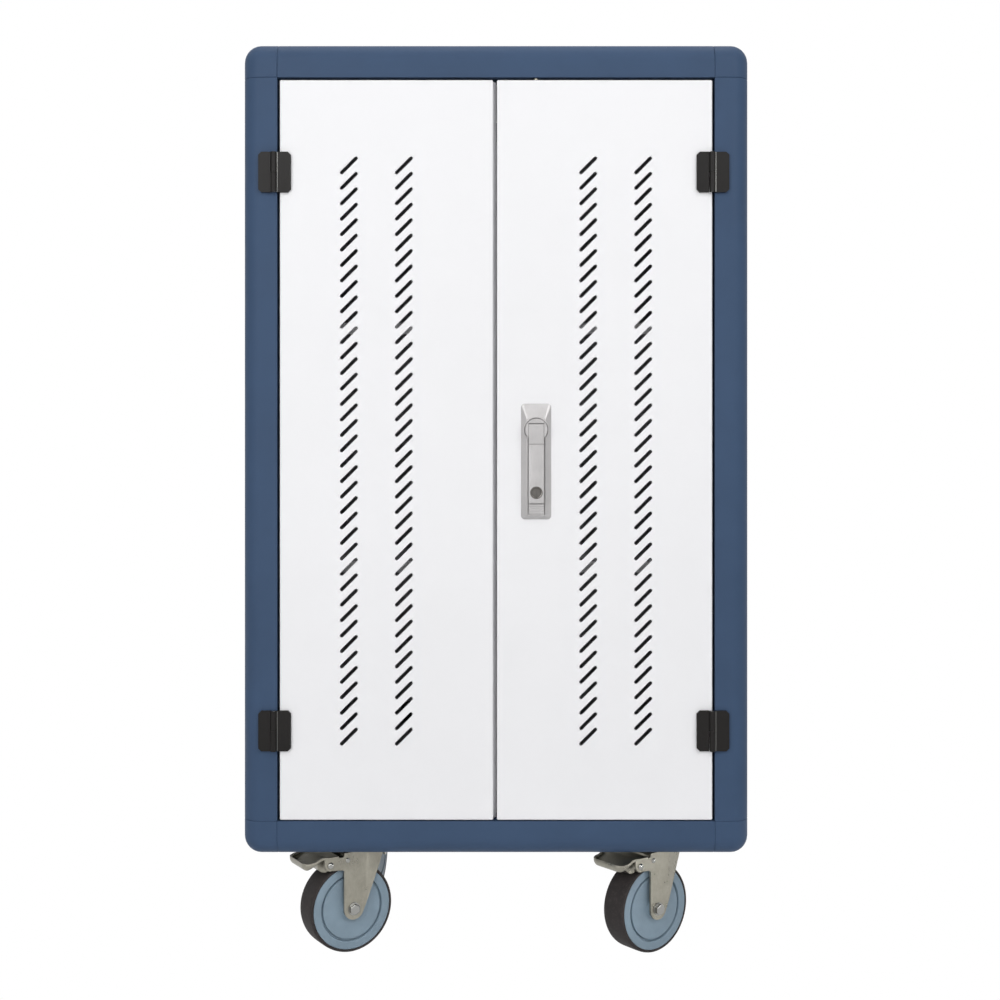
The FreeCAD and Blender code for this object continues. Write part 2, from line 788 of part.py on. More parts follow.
def rack(side):
    """Lock rod with its rack: side is -1 for the upper rod, left of the pinion, and 1 for the lower."""
    up = -side
    pitch = math.pi * gear_module
    slope = math.tan(math.radians(pressure_angle))
    half_tooth = pitch / 4 - gear_backlash / 4
    pitch_x = handle_x + side * pitch_radius
    tip_x = pitch_x - side * gear_module * rack_tip_share
    root_x = pitch_x + side * gear_module * root_share
    back_x = pitch_x + side * rack_width
    yoke_z = pitch_radius + gear_module + rod_stroke + rack_clearance
    head_x = handle_x - side * rod_radius
    foot = -(rack_lead + 1 / 2) * pitch
    points = [V(back_x, 0, foot), V(root_x, 0, foot)]
    for tooth in range(rack_teeth):
        middle = (tooth - rack_lead) * pitch
        tip_half = half_tooth - gear_module * rack_tip_share * slope
        root_half = half_tooth + gear_module * root_share * slope
        points += [V(root_x, 0, middle - root_half), V(tip_x, 0, middle - tip_half),
                   V(tip_x, 0, middle + tip_half), V(root_x, 0, middle + root_half)]
    points += [V(root_x, 0, yoke_z), V(head_x, 0, yoke_z), V(head_x, 0, yoke_z + crosshead_height),
               V(back_x, 0, yoke_z + crosshead_height)]
    placed = [V(p.x, rod_y - rack_thickness / 2, hub_z + up * p.z) for p in points]
    strip = prism(placed, Y * rack_thickness)
    end = bay_top - rod_end_gap if up > 0 else bay_bottom + rod_end_gap
    start = hub_z + up * (yoke_z + crosshead_height / 2)
    rod = cylinder(rod_radius, V(handle_x, rod_y, start), V(handle_x, rod_y, end))
    return strip.fuse(rod)


def rod_drive():
    """Pinion, racked rods, housing and rod guides inside the right door."""
    skin = front + sheet
    half_width = pitch_radius + rack_width + hub_fit + sheet
    reach = pitch_radius + gear_module + rod_stroke + rack_clearance
    housing = hat_channel(handle_x, skin, half_width, housing_depth, hub_z - reach, hub_z + reach)
    guides = []
    for z in (door_head - guide_inset, door_foot + guide_inset):
        low = V(handle_x - guide_width / 2, skin, z - guide_height / 2)
        guide = block(low, low + V(guide_width, 2 * (gear_depth - sheet), guide_height))
        axis = V(handle_x, rod_y, z)
        guides.append(guide.cut(cylinder(rod_radius + running_fit, axis - Z * guide_height, axis + Z * guide_height)))
    return {
        "drive_pinion": drive_pinion(),
        "upper_lock_rod": rack(-1),
        "lower_lock_rod": rack(1),
        "gear_housing": housing,
        "rod_guides": Part.makeCompound(guides),
    }


def shelf(level):
    """Shelf with down-turned front and sides and an upturned back edge."""
    low = V(shelf_left, shelf_front, level - shelf_edge)
    plate = tray(low, V(shelf_right, shelf_back, level), -Z, shelf_sheet)
    stop = block(V(shelf_left, shelf_back - shelf_sheet, level), V(shelf_right, shelf_back, level + shelf_back_edge))
    return plate.fuse(stop).removeSplitter()


def shelf_brackets():
    """Angles from the front to the rear posts that carry the shelves' ends."""
    brackets = []
    start, end = front + band - bracket_lap, rear - band + bracket_lap
    for level in shelf_levels:
        foot = level - shelf_edge - shelf_sheet
        for x, inward in ((bay_left, 1), (bay_right, -1)):
            wall = sorted([x, x + inward * shelf_sheet])
            flange = sorted([x, x + inward * bracket_flange])
            upright = block(V(wall[0], start, foot), V(wall[1], end, level))
            ledge = block(V(flange[0], start, foot), V(flange[1], end, foot + shelf_sheet))
            brackets.append(upright.fuse(ledge).removeSplitter())
    return Part.makeCompound(brackets)


def dividers(level):
    """Upright plates between the devices of one tier, with a slanted upper front corner."""
    back = divider_front + divider_depth
    plates = []
    for place in range(1, divider_slots):
        x = shelf_left + place * divider_pitch - divider_thickness / 2
        points = [V(x, divider_front, level), V(x, back, level), V(x, back, level + divider_height),
                  V(x, divider_front + divider_corner, level + divider_height),
                  V(x, divider_front, level + divider_height - divider_corner)]
        plates.append(prism(points, X * divider_thickness))
    return plates


def power_strip(level):
    """Socket strip on the rear panel, with a row of recesses towards the shelf."""
    low = V(-strip_length / 2, rear_inside - strip_depth, level + strip_rise)
    strip = block(low, low + V(strip_length, strip_depth, strip_height))
    for place in range(divider_slots):
        x = (place - (divider_slots - 1) / 2) * socket_pitch
        corner = V(x - socket_width / 2, low.y - overrun, low.z + (strip_height - socket_height) / 2)
        strip = strip.cut(block(corner, corner + V(socket_width, socket_depth + overrun, socket_height)))
    return strip


def tiers():
    """Shelves, brackets, dividers and power strips of every tier."""
    plates = [plate for level in shelf_levels for plate in dividers(level)]
    return {
        "shelf_brackets": shelf_brackets(),
        "shelves": Part.makeCompound([shelf(level) for level in shelf_levels]),
        "dividers": Part.makeCompound(plates),
        "power_strips": Part.makeCompound([power_strip(level) for level in shelf_levels]),
    }


def inlet():
    """Appliance inlet with its flange outside the rear panel, and its three flat pins."""
    half = V(inlet_width / 2, 0, inlet_height / 2)
    centre = V(inlet_x, 0, inlet_z)
    flange = block(centre - half + Y * rear_face, centre + half + Y * (rear_face + inlet_proud))
    shaft = V(half.x - inlet_mouth_chamfer, 0, half.z - inlet_mouth_chamfer / 2)
    body = flange.fuse(block(centre - shaft + Y * (rear_face - inlet_depth), centre + shaft + Y * rear_face))
    wide, tall, cut = inlet_mouth_width / 2, inlet_mouth_height / 2, inlet_mouth_chamfer
    corners = [(-wide, -tall), (wide, -tall), (wide, tall - cut), (wide - cut, tall), (cut - wide, tall),
               (-wide, tall - cut)]
    outer = rear_face + inlet_proud
    mouth = prism([V(inlet_x + x, outer - inlet_mouth_depth, inlet_z + z) for x, z in corners],
                  Y * (inlet_mouth_depth + overrun))
    pins = []
    for x, z in ((-inlet_pin_spread, -inlet_pin_rise / 2), (inlet_pin_spread, -inlet_pin_rise / 2),
                 (0, inlet_pin_rise / 2)):
        low = V(inlet_x + x - inlet_pin_thickness / 2, outer - inlet_mouth_depth, inlet_z + z - inlet_pin_width / 2)
        pins.append(block(low, low + V(inlet_pin_thickness, inlet_pin_length, inlet_pin_width)))
    return {"mains_inlet": Part.makeCompound([body.cut(mouth)] + pins)}


def switch():
    """Rocker switch beside the inlet: a frame with a chamber, and the rocker on its two stub pins."""
    half = V(switch_width / 2, 0, switch_height / 2)
    centre = V(switch_x, 0, inlet_z)
    flange = block(centre - half + Y * rear_face, centre + half + Y * (rear_face + inlet_proud))
    shaft = V(half.x, 0, half.z) - V(inlet_mouth_chamfer / 2, 0, inlet_mouth_chamfer / 2)
    body = flange.fuse(block(centre - shaft + Y * (rear_face - rocker_chamber), centre + shaft + Y * rear_face))
    room = V(rocker_width / 2 + rocker_fit, 0, rocker_height / 2 + rocker_fit)
    floor = rear_face - rocker_chamber + shelf_sheet
    chamber = block(centre - room + Y * floor, centre + room + Y * (rear_face + inlet_proud + overrun))
    axis = V(switch_x, rocker_axis_y, inlet_z)
    reach = X * (rocker_width / 2 + rocker_pin_length)
    pin_room = cylinder(rocker_pin_radius + running_fit, axis - reach, axis + reach)
    return {"switch_frame": body.cut(chamber).cut(pin_room), "switch_rocker": rocker(axis, reach - X * seat)}


def rocker(axis, reach):
    """Rocker with a hollowed face, tilted to one side about its stub pins."""
    face = rear_face + inlet_proud
    x = switch_x - rocker_width / 2
    back = face - rocker_depth
    tall, short = rocker_height / 2, rocker_height / 4
    rim, foot = V(x, face + rocker_proud, inlet_z), V(x, back, inlet_z)
    edges = [Part.LineSegment(rim - Z * tall, foot - Z * short), Part.LineSegment(foot - Z * short, foot + Z * short),
             Part.LineSegment(foot + Z * short, rim + Z * tall),
             Part.Arc(rim + Z * tall, V(x, face, inlet_z), rim - Z * tall)]
    body = outline(edges).extrude(X * rocker_width)
    body = body.fuse(cylinder(rocker_pin_radius, axis - reach, axis + reach))
    body.rotate(axis, X, rocker_tilt)
    return body


def magnet_catches():
    """Catches on the front rails, behind the free edge of the left door."""
    catches = []
    for z in (bay_bottom, bay_top - catch_height):
        low = V(meeting_left - catch_from_edge, door_back + seat, z)
        catches.append(block(low, low + V(catch_width, catch_depth, catch_height)))
    return {"magnet_catches": Part.makeCompound(catches)}


def hexagon(centre, flats, along):
    """Six-sided bar from a centre point: its flats are this far apart."""
    across = X if abs(along.x) < abs(along.z) + abs(along.y) else Y
    up = along.cross(across).normalize()
    points = [polar(centre, flats / math.sqrt(3), corner * half_turn / 3, across, up) for corner in range(6)]
    return prism(points, along)


def many_sided(radius, half_width):
    """Regular prism round the axle, for the seats that turn one piece with the other."""
    turns = [side * 2 * half_turn / seat_sides for side in range(seat_sides)]
    points = [polar(axle_place - Y * half_width, radius, angle, X, Z) for angle in turns]
    return prism(points, Y * (2 * half_width))


def wheel():
    """Moulded wheel with a sunk web and a hub boss, and the tyre keyed on its many-sided rim."""
    half = wheel_width / 2
    rim_half = half - rim_setback
    hub_half = Y * (fork_gap - hub_gap)
    core = many_sided(rim_radius, rim_half)
    recess = many_sided(web_radius, web_inset / 2)
    for side in (-1, 1):
        core = core.cut(recess.translated(Y * (side * (rim_half - web_inset / 2))))
    core = core.fuse(cylinder(hub_boss_radius, axle_place - hub_half, axle_place + hub_half))
    core = core.cut(cylinder(axle_radius + running_fit, axle_place - Y * width, axle_place + Y * width))
    tyre = cylinder(wheel_radius, axle_place - Y * half, axle_place + Y * half)
    return core, tyre.cut(many_sided(rim_radius, width))


def fork_leg(braked):
    """Outline of a fork leg, with a horn that carries the pedal where there is a brake."""
    crown, shoulder = V(-fork_rear, 0, crown_top), V(-fork_rear, 0, crown_top - shoulder_drop)
    nose = trail + fork_boss
    first = tangent_angle(axle_place, fork_boss, shoulder, X, Z, 1)
    boss = arc(axle_place, fork_boss, first % (2 * half_turn), 2 * half_turn, X, Z)
    edges = [Part.LineSegment(crown, shoulder), Part.LineSegment(shoulder, boss.StartPoint), boss]
    last = boss.EndPoint
    if braked:
        root = V(nose, 0, brake_height - horn_root_drop)
        opening = tangent_angle(brake_place, horn_radius, root, X, Z, 1)
        horn = arc(brake_place, horn_radius, opening, quarter_turn, X, Z)
        notch = V(nose, 0, brake_height + horn_radius)
        edges += [Part.LineSegment(last, root), Part.LineSegment(root, horn.StartPoint), horn,
                  Part.LineSegment(horn.EndPoint, notch)]
        last = notch
    edges += [Part.LineSegment(last, V(nose, 0, crown_top)), Part.LineSegment(V(nose, 0, crown_top), crown)]
    return outline(edges)


def fork(braked):
    """Pressed fork: crown and two legs."""
    outside = fork_gap + fork_sheet
    crown = block(V(-fork_rear, -outside, crown_top - fork_sheet), V(trail + fork_boss, outside, crown_top))
    body = crown
    for start in (fork_gap, -outside):
        leg = fork_leg(braked).extrude(Y * fork_sheet)
        leg.translate(Y * start)
        body = body.fuse(leg)
    body = body.cut(cylinder(kingpin_radius + running_fit, V(0, 0, 0), Z * castor_height))
    body = body.cut(cylinder(axle_radius, axle_place - Y * width, axle_place + Y * width))
    if braked:
        body = body.cut(cylinder(brake_pin_radius, brake_place - Y * width, brake_place + Y * width))
    return body.removeSplitter()


def castor_pins(braked):
    """Axle bolt with its head and nut, and the pedal's pin."""
    outside = Y * (fork_gap + fork_sheet)
    axle = cylinder(axle_radius, axle_place - outside, axle_place + outside)
    head = hexagon(axle_place + outside, axle_head_flats, Y * axle_head_height)
    nut = hexagon(axle_place - outside, axle_head_flats, -Y * axle_head_height)
    pins = [axle.fuse(head).fuse(nut).removeSplitter()]
    if braked:
        reach = outside + Y * (ear_gap + pedal_sheet + brake_pin_end)
        pins.append(cylinder(brake_pin_radius, brake_place - reach, brake_place + reach))
    return Part.makeCompound(pins)


def brake_pedal():
    """Pressed pedal with a rolled lip, two ears outside the fork and a cam over the tyre."""
    back = brake_place + V(-pedal_back, -pedal_half_width, pedal_rise)
    bend = brake_place + V(pedal_flat, -pedal_half_width, pedal_rise)
    dip = bend + V(pedal_slope_run, 0, -pedal_slope_drop)
    slope = math.degrees(math.atan2(pedal_slope_drop, pedal_slope_run))
    start, end = 3 * quarter_turn - slope, 3 * quarter_turn - slope + pedal_lip_turn
    eye = polar(dip, pedal_lip_radius, start - half_turn, X, Z)
    under = arc(eye, pedal_lip_radius, start, end, X, Z)
    over = arc(eye, pedal_lip_radius - pedal_sheet, start, end, X, Z)
    thick = Z * pedal_sheet
    crease = bend + thick + X * (pedal_sheet * math.tan(math.radians(slope / 2)))
    edges = [Part.LineSegment(back, bend), Part.LineSegment(bend, under.StartPoint), under,
             Part.LineSegment(under.EndPoint, over.EndPoint), over,
             Part.LineSegment(over.StartPoint, crease), Part.LineSegment(crease, back + thick),
             Part.LineSegment(back + thick, back)]
    pedal = outline(edges).extrude(Y * (2 * pedal_half_width))
    near = fork_gap + fork_sheet + ear_gap
    for start in (near, -near - pedal_sheet):
        foot = brake_place + Y * start
        across = [(-ear_half, 0), (-ear_half / 2, -ear_half), (ear_half / 2, -ear_half), (ear_half, 0),
                  (ear_half, pedal_rise + pedal_sheet / 2), (-ear_half, pedal_rise + pedal_sheet / 2)]
        pedal = pedal.fuse(prism([foot + V(dx, 0, dz) for dx, dz in across], Y * pedal_sheet))
    towards = math.degrees(math.atan2(axle_place.z - brake_place.z, axle_place.x - brake_place.x))
    cam = polar(brake_place, cam_offset, towards + cam_lag, X, Z)
    half = Y * cam_half_width
    pedal = pedal.fuse(cylinder(cam_radius, cam - half, cam + half))
    link = block(brake_place - half - X * (cam_radius - cam_offset),
                 brake_place + half + V(cam_radius - cam_offset, 0, pedal_rise + pedal_sheet / 2))
    bore = cylinder(brake_pin_radius + running_fit, brake_place - Y * width, brake_place + Y * width)
    return pedal.fuse(link).cut(bore).removeSplitter()


def castor_head(x, y):
    """Fixed top plate with its race cup, kingpin and nut."""
    centre = V(x, y, 0)
    half = V(plate_length / 2, plate_width / 2, 0)
    underside = bottom - plate_thickness
    plate = block(centre - half + Z * underside, centre + half + Z * bottom)
    cup_foot = crown_top + race_gap
    cup = Part.makeCone(race_radius, cup_radius, underside - cup_foot, centre + Z * cup_foot)
    nut_top = crown_top - fork_sheet - race_gap
    pin = cylinder(kingpin_radius, centre + Z * (nut_top - kingpin_nut_height), centre + Z * underside)
    nut = hexagon(centre + Z * nut_top, kingpin_nut_flats, -Z * kingpin_nut_height)
    return plate.fuse(cup).fuse(pin).fuse(nut).removeSplitter()


def castors():
    """Four swivel castors: the front two have brakes."""
    ends = {"front": front + kingpin_setback, "rear": rear - kingpin_setback}
    shifts = {"front": kingpin_shift, "rear": rear_kingpin_shift}
    sides = {"left": -kingpin_spread, "right": kingpin_spread}
    yaws = {"front_left": front_left_yaw, "front_right": front_right_yaw, "rear_left": rear_yaw,
            "rear_right": rear_yaw}
    heads, pieces = [], {}
    for name, yaw in yaws.items():
        end, side = name.split("_")
        braked = end == "front"
        x, y = sides[side] + shifts[end], ends[end]
        heads.append(castor_head(x, y))
        core, tyre = wheel()
        swivelling = {"_fork": fork(braked), "_wheel": core, "_tyre": tyre, "_castor_pins": castor_pins(braked)}
        if braked:
            swivelling["_brake_pedal"] = brake_pedal()
        for ending, shape in swivelling.items():
            shape.rotate(V(0, 0, 0), Z, half_turn + yaw)
            shape.translate(V(x, y, 0))
            pieces[name + ending] = shape
    pieces["castor_heads"] = Part.makeCompound(heads)
    return pieces


def cabinet():
    """Every piece by its name."""
    pieces = {}
    for group in (frame_posts, frame_rails, corner_pieces, outer_panels, rear_panel, doors, hinges, handle,
                  rod_drive, tiers, inlet, switch, magnet_catches, castors):
        pieces.update(group())
    return pieces


os.makedirs("parts", exist_ok=True)
for piece_name, piece in cabinet().items():
    piece.exportStep(os.path.join("parts", piece_name + ".step"))
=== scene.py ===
import json
import math

import bmesh
import bpy
from mathutils import Matrix, Vector

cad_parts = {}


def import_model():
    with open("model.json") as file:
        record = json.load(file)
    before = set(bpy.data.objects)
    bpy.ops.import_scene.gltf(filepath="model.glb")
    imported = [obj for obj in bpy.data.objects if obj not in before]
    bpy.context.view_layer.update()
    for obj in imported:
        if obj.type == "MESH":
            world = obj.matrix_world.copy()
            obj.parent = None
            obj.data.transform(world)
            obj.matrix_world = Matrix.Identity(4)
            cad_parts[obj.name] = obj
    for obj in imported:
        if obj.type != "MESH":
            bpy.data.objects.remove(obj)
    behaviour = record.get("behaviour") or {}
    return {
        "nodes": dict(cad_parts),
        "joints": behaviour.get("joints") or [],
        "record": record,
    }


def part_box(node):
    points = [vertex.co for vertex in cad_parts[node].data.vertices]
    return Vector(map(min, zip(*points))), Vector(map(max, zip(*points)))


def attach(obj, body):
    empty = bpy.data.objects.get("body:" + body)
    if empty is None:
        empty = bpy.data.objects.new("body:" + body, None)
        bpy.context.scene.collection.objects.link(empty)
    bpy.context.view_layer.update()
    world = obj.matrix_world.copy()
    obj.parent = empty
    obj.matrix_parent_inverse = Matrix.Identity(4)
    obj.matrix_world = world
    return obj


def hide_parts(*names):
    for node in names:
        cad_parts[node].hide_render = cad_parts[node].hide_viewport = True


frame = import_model()
nodes = frame["nodes"]
body_groups = frame["record"]["behaviour"]["bodies"]
home = {node: body for body, group in body_groups.items() for node in group}
slots = {part["node"]: part["material_slot"] for part in frame["record"]["subparts"]}
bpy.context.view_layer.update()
MM = 0.001
QUARTER = math.pi / 2
ALONG_Y, ALONG_Z = Vector((0, 1, 0)), Vector((0, 0, 1))


# Materials: a base colour that varies softly, a grain of the given size and an uneven gloss

BROAD_NOISE = {"Detail": 4.0, "Roughness": 0.6}
FINE_NOISE = {"Detail": 3.0, "Roughness": 0.55}
DUST_NOISE = {"Detail": 6.0, "Roughness": 0.75}
DUST_PER_BLOTCH = 6
TONE_BAND, SPECK_BAND, DUST_BAND, GLOSS_BAND = (0.35, 0.65), (0.3, 0.6), (0.5, 0.75), (0.3, 0.7)
SPECK_SHARE, BUMP_STRENGTH = 0.8, 0.6
COAT_ROUGHNESS, LOWEST_ROUGHNESS = 0.25, 0.03


def grey(level):
    return (level, level, level, 1)


def material(name, colour, rough, metal=0.0, spread=0.05, grain=900.0, depth=0.00004,
             stretch=(1, 1, 1), blotch=9.0, rough_spread=0.08, dust=None, dust_share=0.0,
             coat=0.0, shine=0.5):
    mat = bpy.data.materials.new(name)
    mat.use_nodes = True
    tree = mat.node_tree
    shader = tree.nodes["Principled BSDF"]
    shader.inputs["Metallic"].default_value = metal
    shader.inputs["Specular IOR Level"].default_value = shine
    shader.inputs["Coat Weight"].default_value = coat
    shader.inputs["Coat Roughness"].default_value = COAT_ROUGHNESS

    def node(kind, values):
        made = tree.nodes.new(kind)
        for key, value in values.items():
            made.inputs[key].default_value = value
        return made

    def link(a, out, b, into):
        tree.links.new(a.outputs[out], b.inputs[into])

    def ramp(source, low, high, band):
        made = tree.nodes.new("ShaderNodeValToRGB")
        for element, colour_there, place_there in zip(made.color_ramp.elements, (low, high), band):
            element.position, element.color = place_there, colour_there
        link(source, "Fac", made, "Fac")
        return made

    place = tree.nodes.new("ShaderNodeTexCoord")
    scale = node("ShaderNodeMapping", {"Scale": stretch})
    link(place, "Object", scale, "Vector")
    broad = node("ShaderNodeTexNoise", {"Scale": blotch, **BROAD_NOISE})
    link(place, "Object", broad, "Vector")
    fine = node("ShaderNodeTexNoise", {"Scale": grain, **FINE_NOISE})
    link(scale, "Vector", fine, "Vector")
    low = tuple(c * (1 - spread) for c in colour) + (1,)
    high = tuple(min(1, c * (1 + spread)) for c in colour) + (1,)
    tone = ramp(broad, low, high, TONE_BAND)
    speck = ramp(fine, grey(1 - spread), grey(1), SPECK_BAND)
    mixed = node("ShaderNodeMixRGB", {"Fac": SPECK_SHARE})
    mixed.blend_type = "MULTIPLY"
    link(tone, "Color", mixed, "Color1")
    link(speck, "Color", mixed, "Color2")
    last = mixed
    if dust:
        worn = node("ShaderNodeTexNoise", {"Scale": blotch * DUST_PER_BLOTCH, **DUST_NOISE})
        link(place, "Object", worn, "Vector")
        cover = ramp(worn, grey(0), grey(dust_share), DUST_BAND)
        last = node("ShaderNodeMixRGB", {"Color2": dust + (1,)})
        link(cover, "Color", last, "Fac")
        link(mixed, "Color", last, "Color1")
    link(last, "Color", shader, "Base Color")
    gloss = node("ShaderNodeMapRange", {
        "From Min": GLOSS_BAND[0], "From Max": GLOSS_BAND[1],
        "To Min": max(rough - rough_spread, LOWEST_ROUGHNESS), "To Max": min(rough + rough_spread, 1)})
    link(broad, "Fac", gloss, "Value")
    link(gloss, "Result", shader, "Roughness")
    bump = node("ShaderNodeBump", {"Strength": BUMP_STRENGTH, "Distance": depth})
    link(fine, "Fac", bump, "Height")
    link(bump, "Normal", shader, "Normal")
    return mat


def linear(*rgb):
    """Linear colour of an sRGB colour in 0 to 255."""
    shares = [c / 255 for c in rgb]
    return tuple(s / 12.92 if s <= 0.04045 else ((s + 0.055) / 1.055) ** 2.4 for s in shares)


finishes = {
    "frame_blue": material(
        "blue powder coat", linear(62, 81, 108), 0.5, grain=1300, depth=0.00005, shine=0.12),
    "door_white": material(
        "white powder coat", linear(236, 236, 238), 0.5, spread=0.012, grain=1500, depth=0.00003,
        blotch=3),
    "panel_white": material(
        "white sheet", linear(230, 230, 232), 0.5, spread=0.015, grain=1500, depth=0.00003, blotch=3),
    "hinge_black": material(
        "black coat", linear(25, 23, 22), 0.4, spread=0.12, grain=1600, depth=0.00006, shine=0.2),
    "pin_steel": material(
        "turned steel", linear(152, 152, 149), 0.18, metal=1.0, spread=0.06, grain=500,
        depth=0.00002, stretch=(1, 1, 6)),
    "handle_silver": material(
        "satin silver", linear(182, 180, 180), 0.36, metal=0.45, grain=700, depth=0.00003,
        stretch=(1, 1, 0.12), blotch=30),
    "lock_chrome": material(
        "lock chrome", linear(110, 107, 104), 0.2, metal=1.0, spread=0.08, depth=0.00002, blotch=60),
    "zinc": material(
        "zinc plate", linear(145, 142, 131), 0.34, metal=0.85, spread=0.1, grain=420,
        stretch=(1, 1, 0.3), blotch=40, rough_spread=0.1, dust=linear(168, 163, 151),
        dust_share=0.35),
    "wheel_grey": material(
        "wheel plastic", linear(130, 149, 163), 0.5, spread=0.07, grain=1100, depth=0.00006,
        blotch=30, dust=linear(140, 152, 162), dust_share=0.25, shine=0.3),
    "tyre_rubber": material(
        "grey black rubber", linear(52, 48, 48), 0.75, spread=0.2, grain=1400, depth=0.00009,
        blotch=30, dust=linear(78, 72, 69), dust_share=0.5, shine=0.25),
    "black_plastic": material(
        "black plastic", linear(34, 34, 35), 0.5, spread=0.1, grain=1500, depth=0.00007),
    "rocker_black": material(
        "gloss rocker", linear(26, 26, 28), 0.18, spread=0.08, depth=0.00002, coat=0.4),
    "strip_plastic": material(
        "strip plastic", linear(222, 222, 219), 0.42, spread=0.03, grain=1200, depth=0.00005),
}


# Building pieces

SAME_POINT, NEARLY_FLAT = 2e-6, math.radians(0.6)
EDGE_STEPS, SHEET_ANGLE = 2, 25
SHARP_CAST, SHARP_LEVER, SHARP_EAR, SHARP_SHEET, SHARP_WHEEL, SHARP_PAN = 30, 32, 34, 38, 42, 50
BEVEL = {"profile": 0.5, "affect": "EDGES", "clamp_overlap": True, "offset_type": "OFFSET"}
CORNER_FLOOR, CORNER_EASE = 1e-5, 0.8
AXIS = 0.05     # radius in millimetres of the ring that stands for a point on an axis


def placed(name, data):
    """New object in the scene."""
    made = bpy.data.objects.new(name, data)
    bpy.context.scene.collection.objects.link(made)
    return made


def settle(name, mesh, node, angle=SHARP_SHEET, slot=None, replaces=True):
    """A mesh as a piece that rides with a node's body, has its finish and stands for it.

    Edges that turn by more than the angle in degrees stay sharp.
    """
    piece = placed(name, mesh)
    mesh.materials.clear()
    finish = slot or slots[node]
    mesh.materials.append(finishes[finish])
    mesh.shade_smooth()
    mesh.set_sharp_from_angle(angle=math.radians(angle))
    normals = piece.modifiers.new("normals", "WEIGHTED_NORMAL")
    normals.keep_sharp = True
    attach(piece, home[node])
    if replaces:
        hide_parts(node)


def mesh_of(name, bm):
    mesh = bpy.data.meshes.new(name)
    bmesh.ops.recalc_face_normals(bm, faces=bm.faces)
    bm.to_mesh(mesh)
    bm.free()
    return mesh


def cleaned(node, place=None, same_point=SAME_POINT):
    """A node's shape without doubled points and edges inside flat faces."""
    bm = bmesh.new()
    bm.from_mesh(nodes[node].data)
    if place:
        bm.transform(place.inverted())
    bmesh.ops.remove_doubles(bm, verts=bm.verts, dist=same_point)
    bmesh.ops.dissolve_limit(bm, angle_limit=NEARLY_FLAT, verts=bm.verts, edges=bm.edges)
    return bm


def soften_edges(bm, width, angle):
    """Round every edge of a shape that turns by more than an angle in degrees."""
    sharp = [edge for edge in bm.edges
             if len(edge.link_faces) == 2 and edge.calc_face_angle(0) > math.radians(angle)]
    bmesh.ops.bevel(bm, geom=sharp, offset=width, segments=EDGE_STEPS, **BEVEL)


def softened(node, width):
    """Piece with a node's shape and rounded edges."""
    bm = cleaned(node)
    soften_edges(bm, width, SHEET_ANGLE)
    settle(node + ".soft", mesh_of(node, bm), node)


def full_turn(steps):
    """Angles that divide a turn evenly, without its end."""
    return [2 * math.pi * step / steps for step in range(steps)]


def quarter_turn(steps):
    """Angles that divide a right angle evenly, with both its ends."""
    return [QUARTER * step / steps for step in range(steps + 1)]


def middle_of(low, high):
    return [(a + b) / 2 for a, b in zip(low, high)]


def round_rect(width, height, radius, corner_points=6):
    """Points of a rectangle with round corners, anticlockwise, as (across, up)."""
    radius = min(radius, width / 2 - CORNER_FLOOR, height / 2 - CORNER_FLOOR)
    radius = max(radius, CORNER_FLOOR)
    points = []
    for quarter, (sx, sz) in enumerate([(1, 1), (-1, 1), (-1, -1), (1, -1)]):
        cx, cz = sx * (width / 2 - radius), sz * (height / 2 - radius)
        for step in range(corner_points + 1):
            a = QUARTER * (quarter + step / corner_points)
            points.append((cx + radius * math.cos(a), cz + radius * math.sin(a)))
    return points


def stack(rings, closed=False):
    """Skin over rings of equal counts of points, with its ends capped unless it is closed."""
    bm = bmesh.new()
    rows = [[bm.verts.new(point) for point in ring] for ring in rings]
    pairs = list(zip(rows, rows[1:])) + ([(rows[-1], rows[0])] if closed else [])
    for a, b in pairs:
        for i in range(len(a)):
            j = (i + 1) % len(a)
            bm.faces.new((a[i], a[j], b[j], b[i]))
    if not closed:
        bm.faces.new(rows[0])
        bm.faces.new(rows[-1])
    return bm


def plate_rings(centre, width, height, radius, profile, corner_points=6):
    """Rings of a rounded upright plate facing -Y, from (inset, distance out) points."""
    rings = []
    for inset, out in profile:
        ring = round_rect(width - 2 * inset, height - 2 * inset, radius - inset * CORNER_EASE,
                          corner_points)
        rings.append([centre + Vector((x, -out, z)) for x, z in ring])
    return rings


def turned(profile, place, along, segments, closed=True):
    """Solid turned about an axis from (radius, distance along) points."""
    along = along.normalized()
    across = along.orthogonal().normalized()
    beside = along.cross(across)
    rings = []
    for radius, reach in profile:
        rings.append([place + along * reach + (across * math.cos(a) + beside * math.sin(a)) * radius
                      for a in full_turn(segments)])
    return stack(rings, closed)


def evaluated(shape):
    """New mesh of an object as its modifiers or its curve settings make it."""
    bpy.context.view_layer.update()
    shown = shape.evaluated_get(bpy.context.evaluated_depsgraph_get())
    return bpy.data.meshes.new_from_object(shown)


def cut_by(piece_mesh, cutters):
    """Mesh with the cutters' meshes taken out of it."""
    base = placed("base", piece_mesh)
    tools = []
    for mesh in cutters:
        tool = placed("tool", mesh)
        tools.append(tool)
        cut = base.modifiers.new("cut", "BOOLEAN")
        cut.object, cut.operation, cut.solver = tool, "DIFFERENCE", "EXACT"
    result = evaluated(base)
    for spent in tools + [base]:
        bpy.data.objects.remove(spent)
    return result


def merged(meshes):
    bm = bmesh.new()
    for mesh in meshes:
        bm.from_mesh(mesh)
    return mesh_of("merged", bm)


def bar(low, high, radius, corner_points=3):
    """Upright box with rounded edges all round."""
    low, high = Vector(low), Vector(high)
    size, middle = high - low, (low + high) / 2
    far = [(radius * (1 - math.cos(a)), radius * (1 - math.sin(a)))
           for a in reversed(quarter_turn(corner_points))]
    near = [(inset, size.y - drop) for inset, drop in reversed(far)]
    return stack(plate_rings(Vector((middle.x, high.y, middle.z)), size.x, size.z, radius,
                             far + near, corner_points))


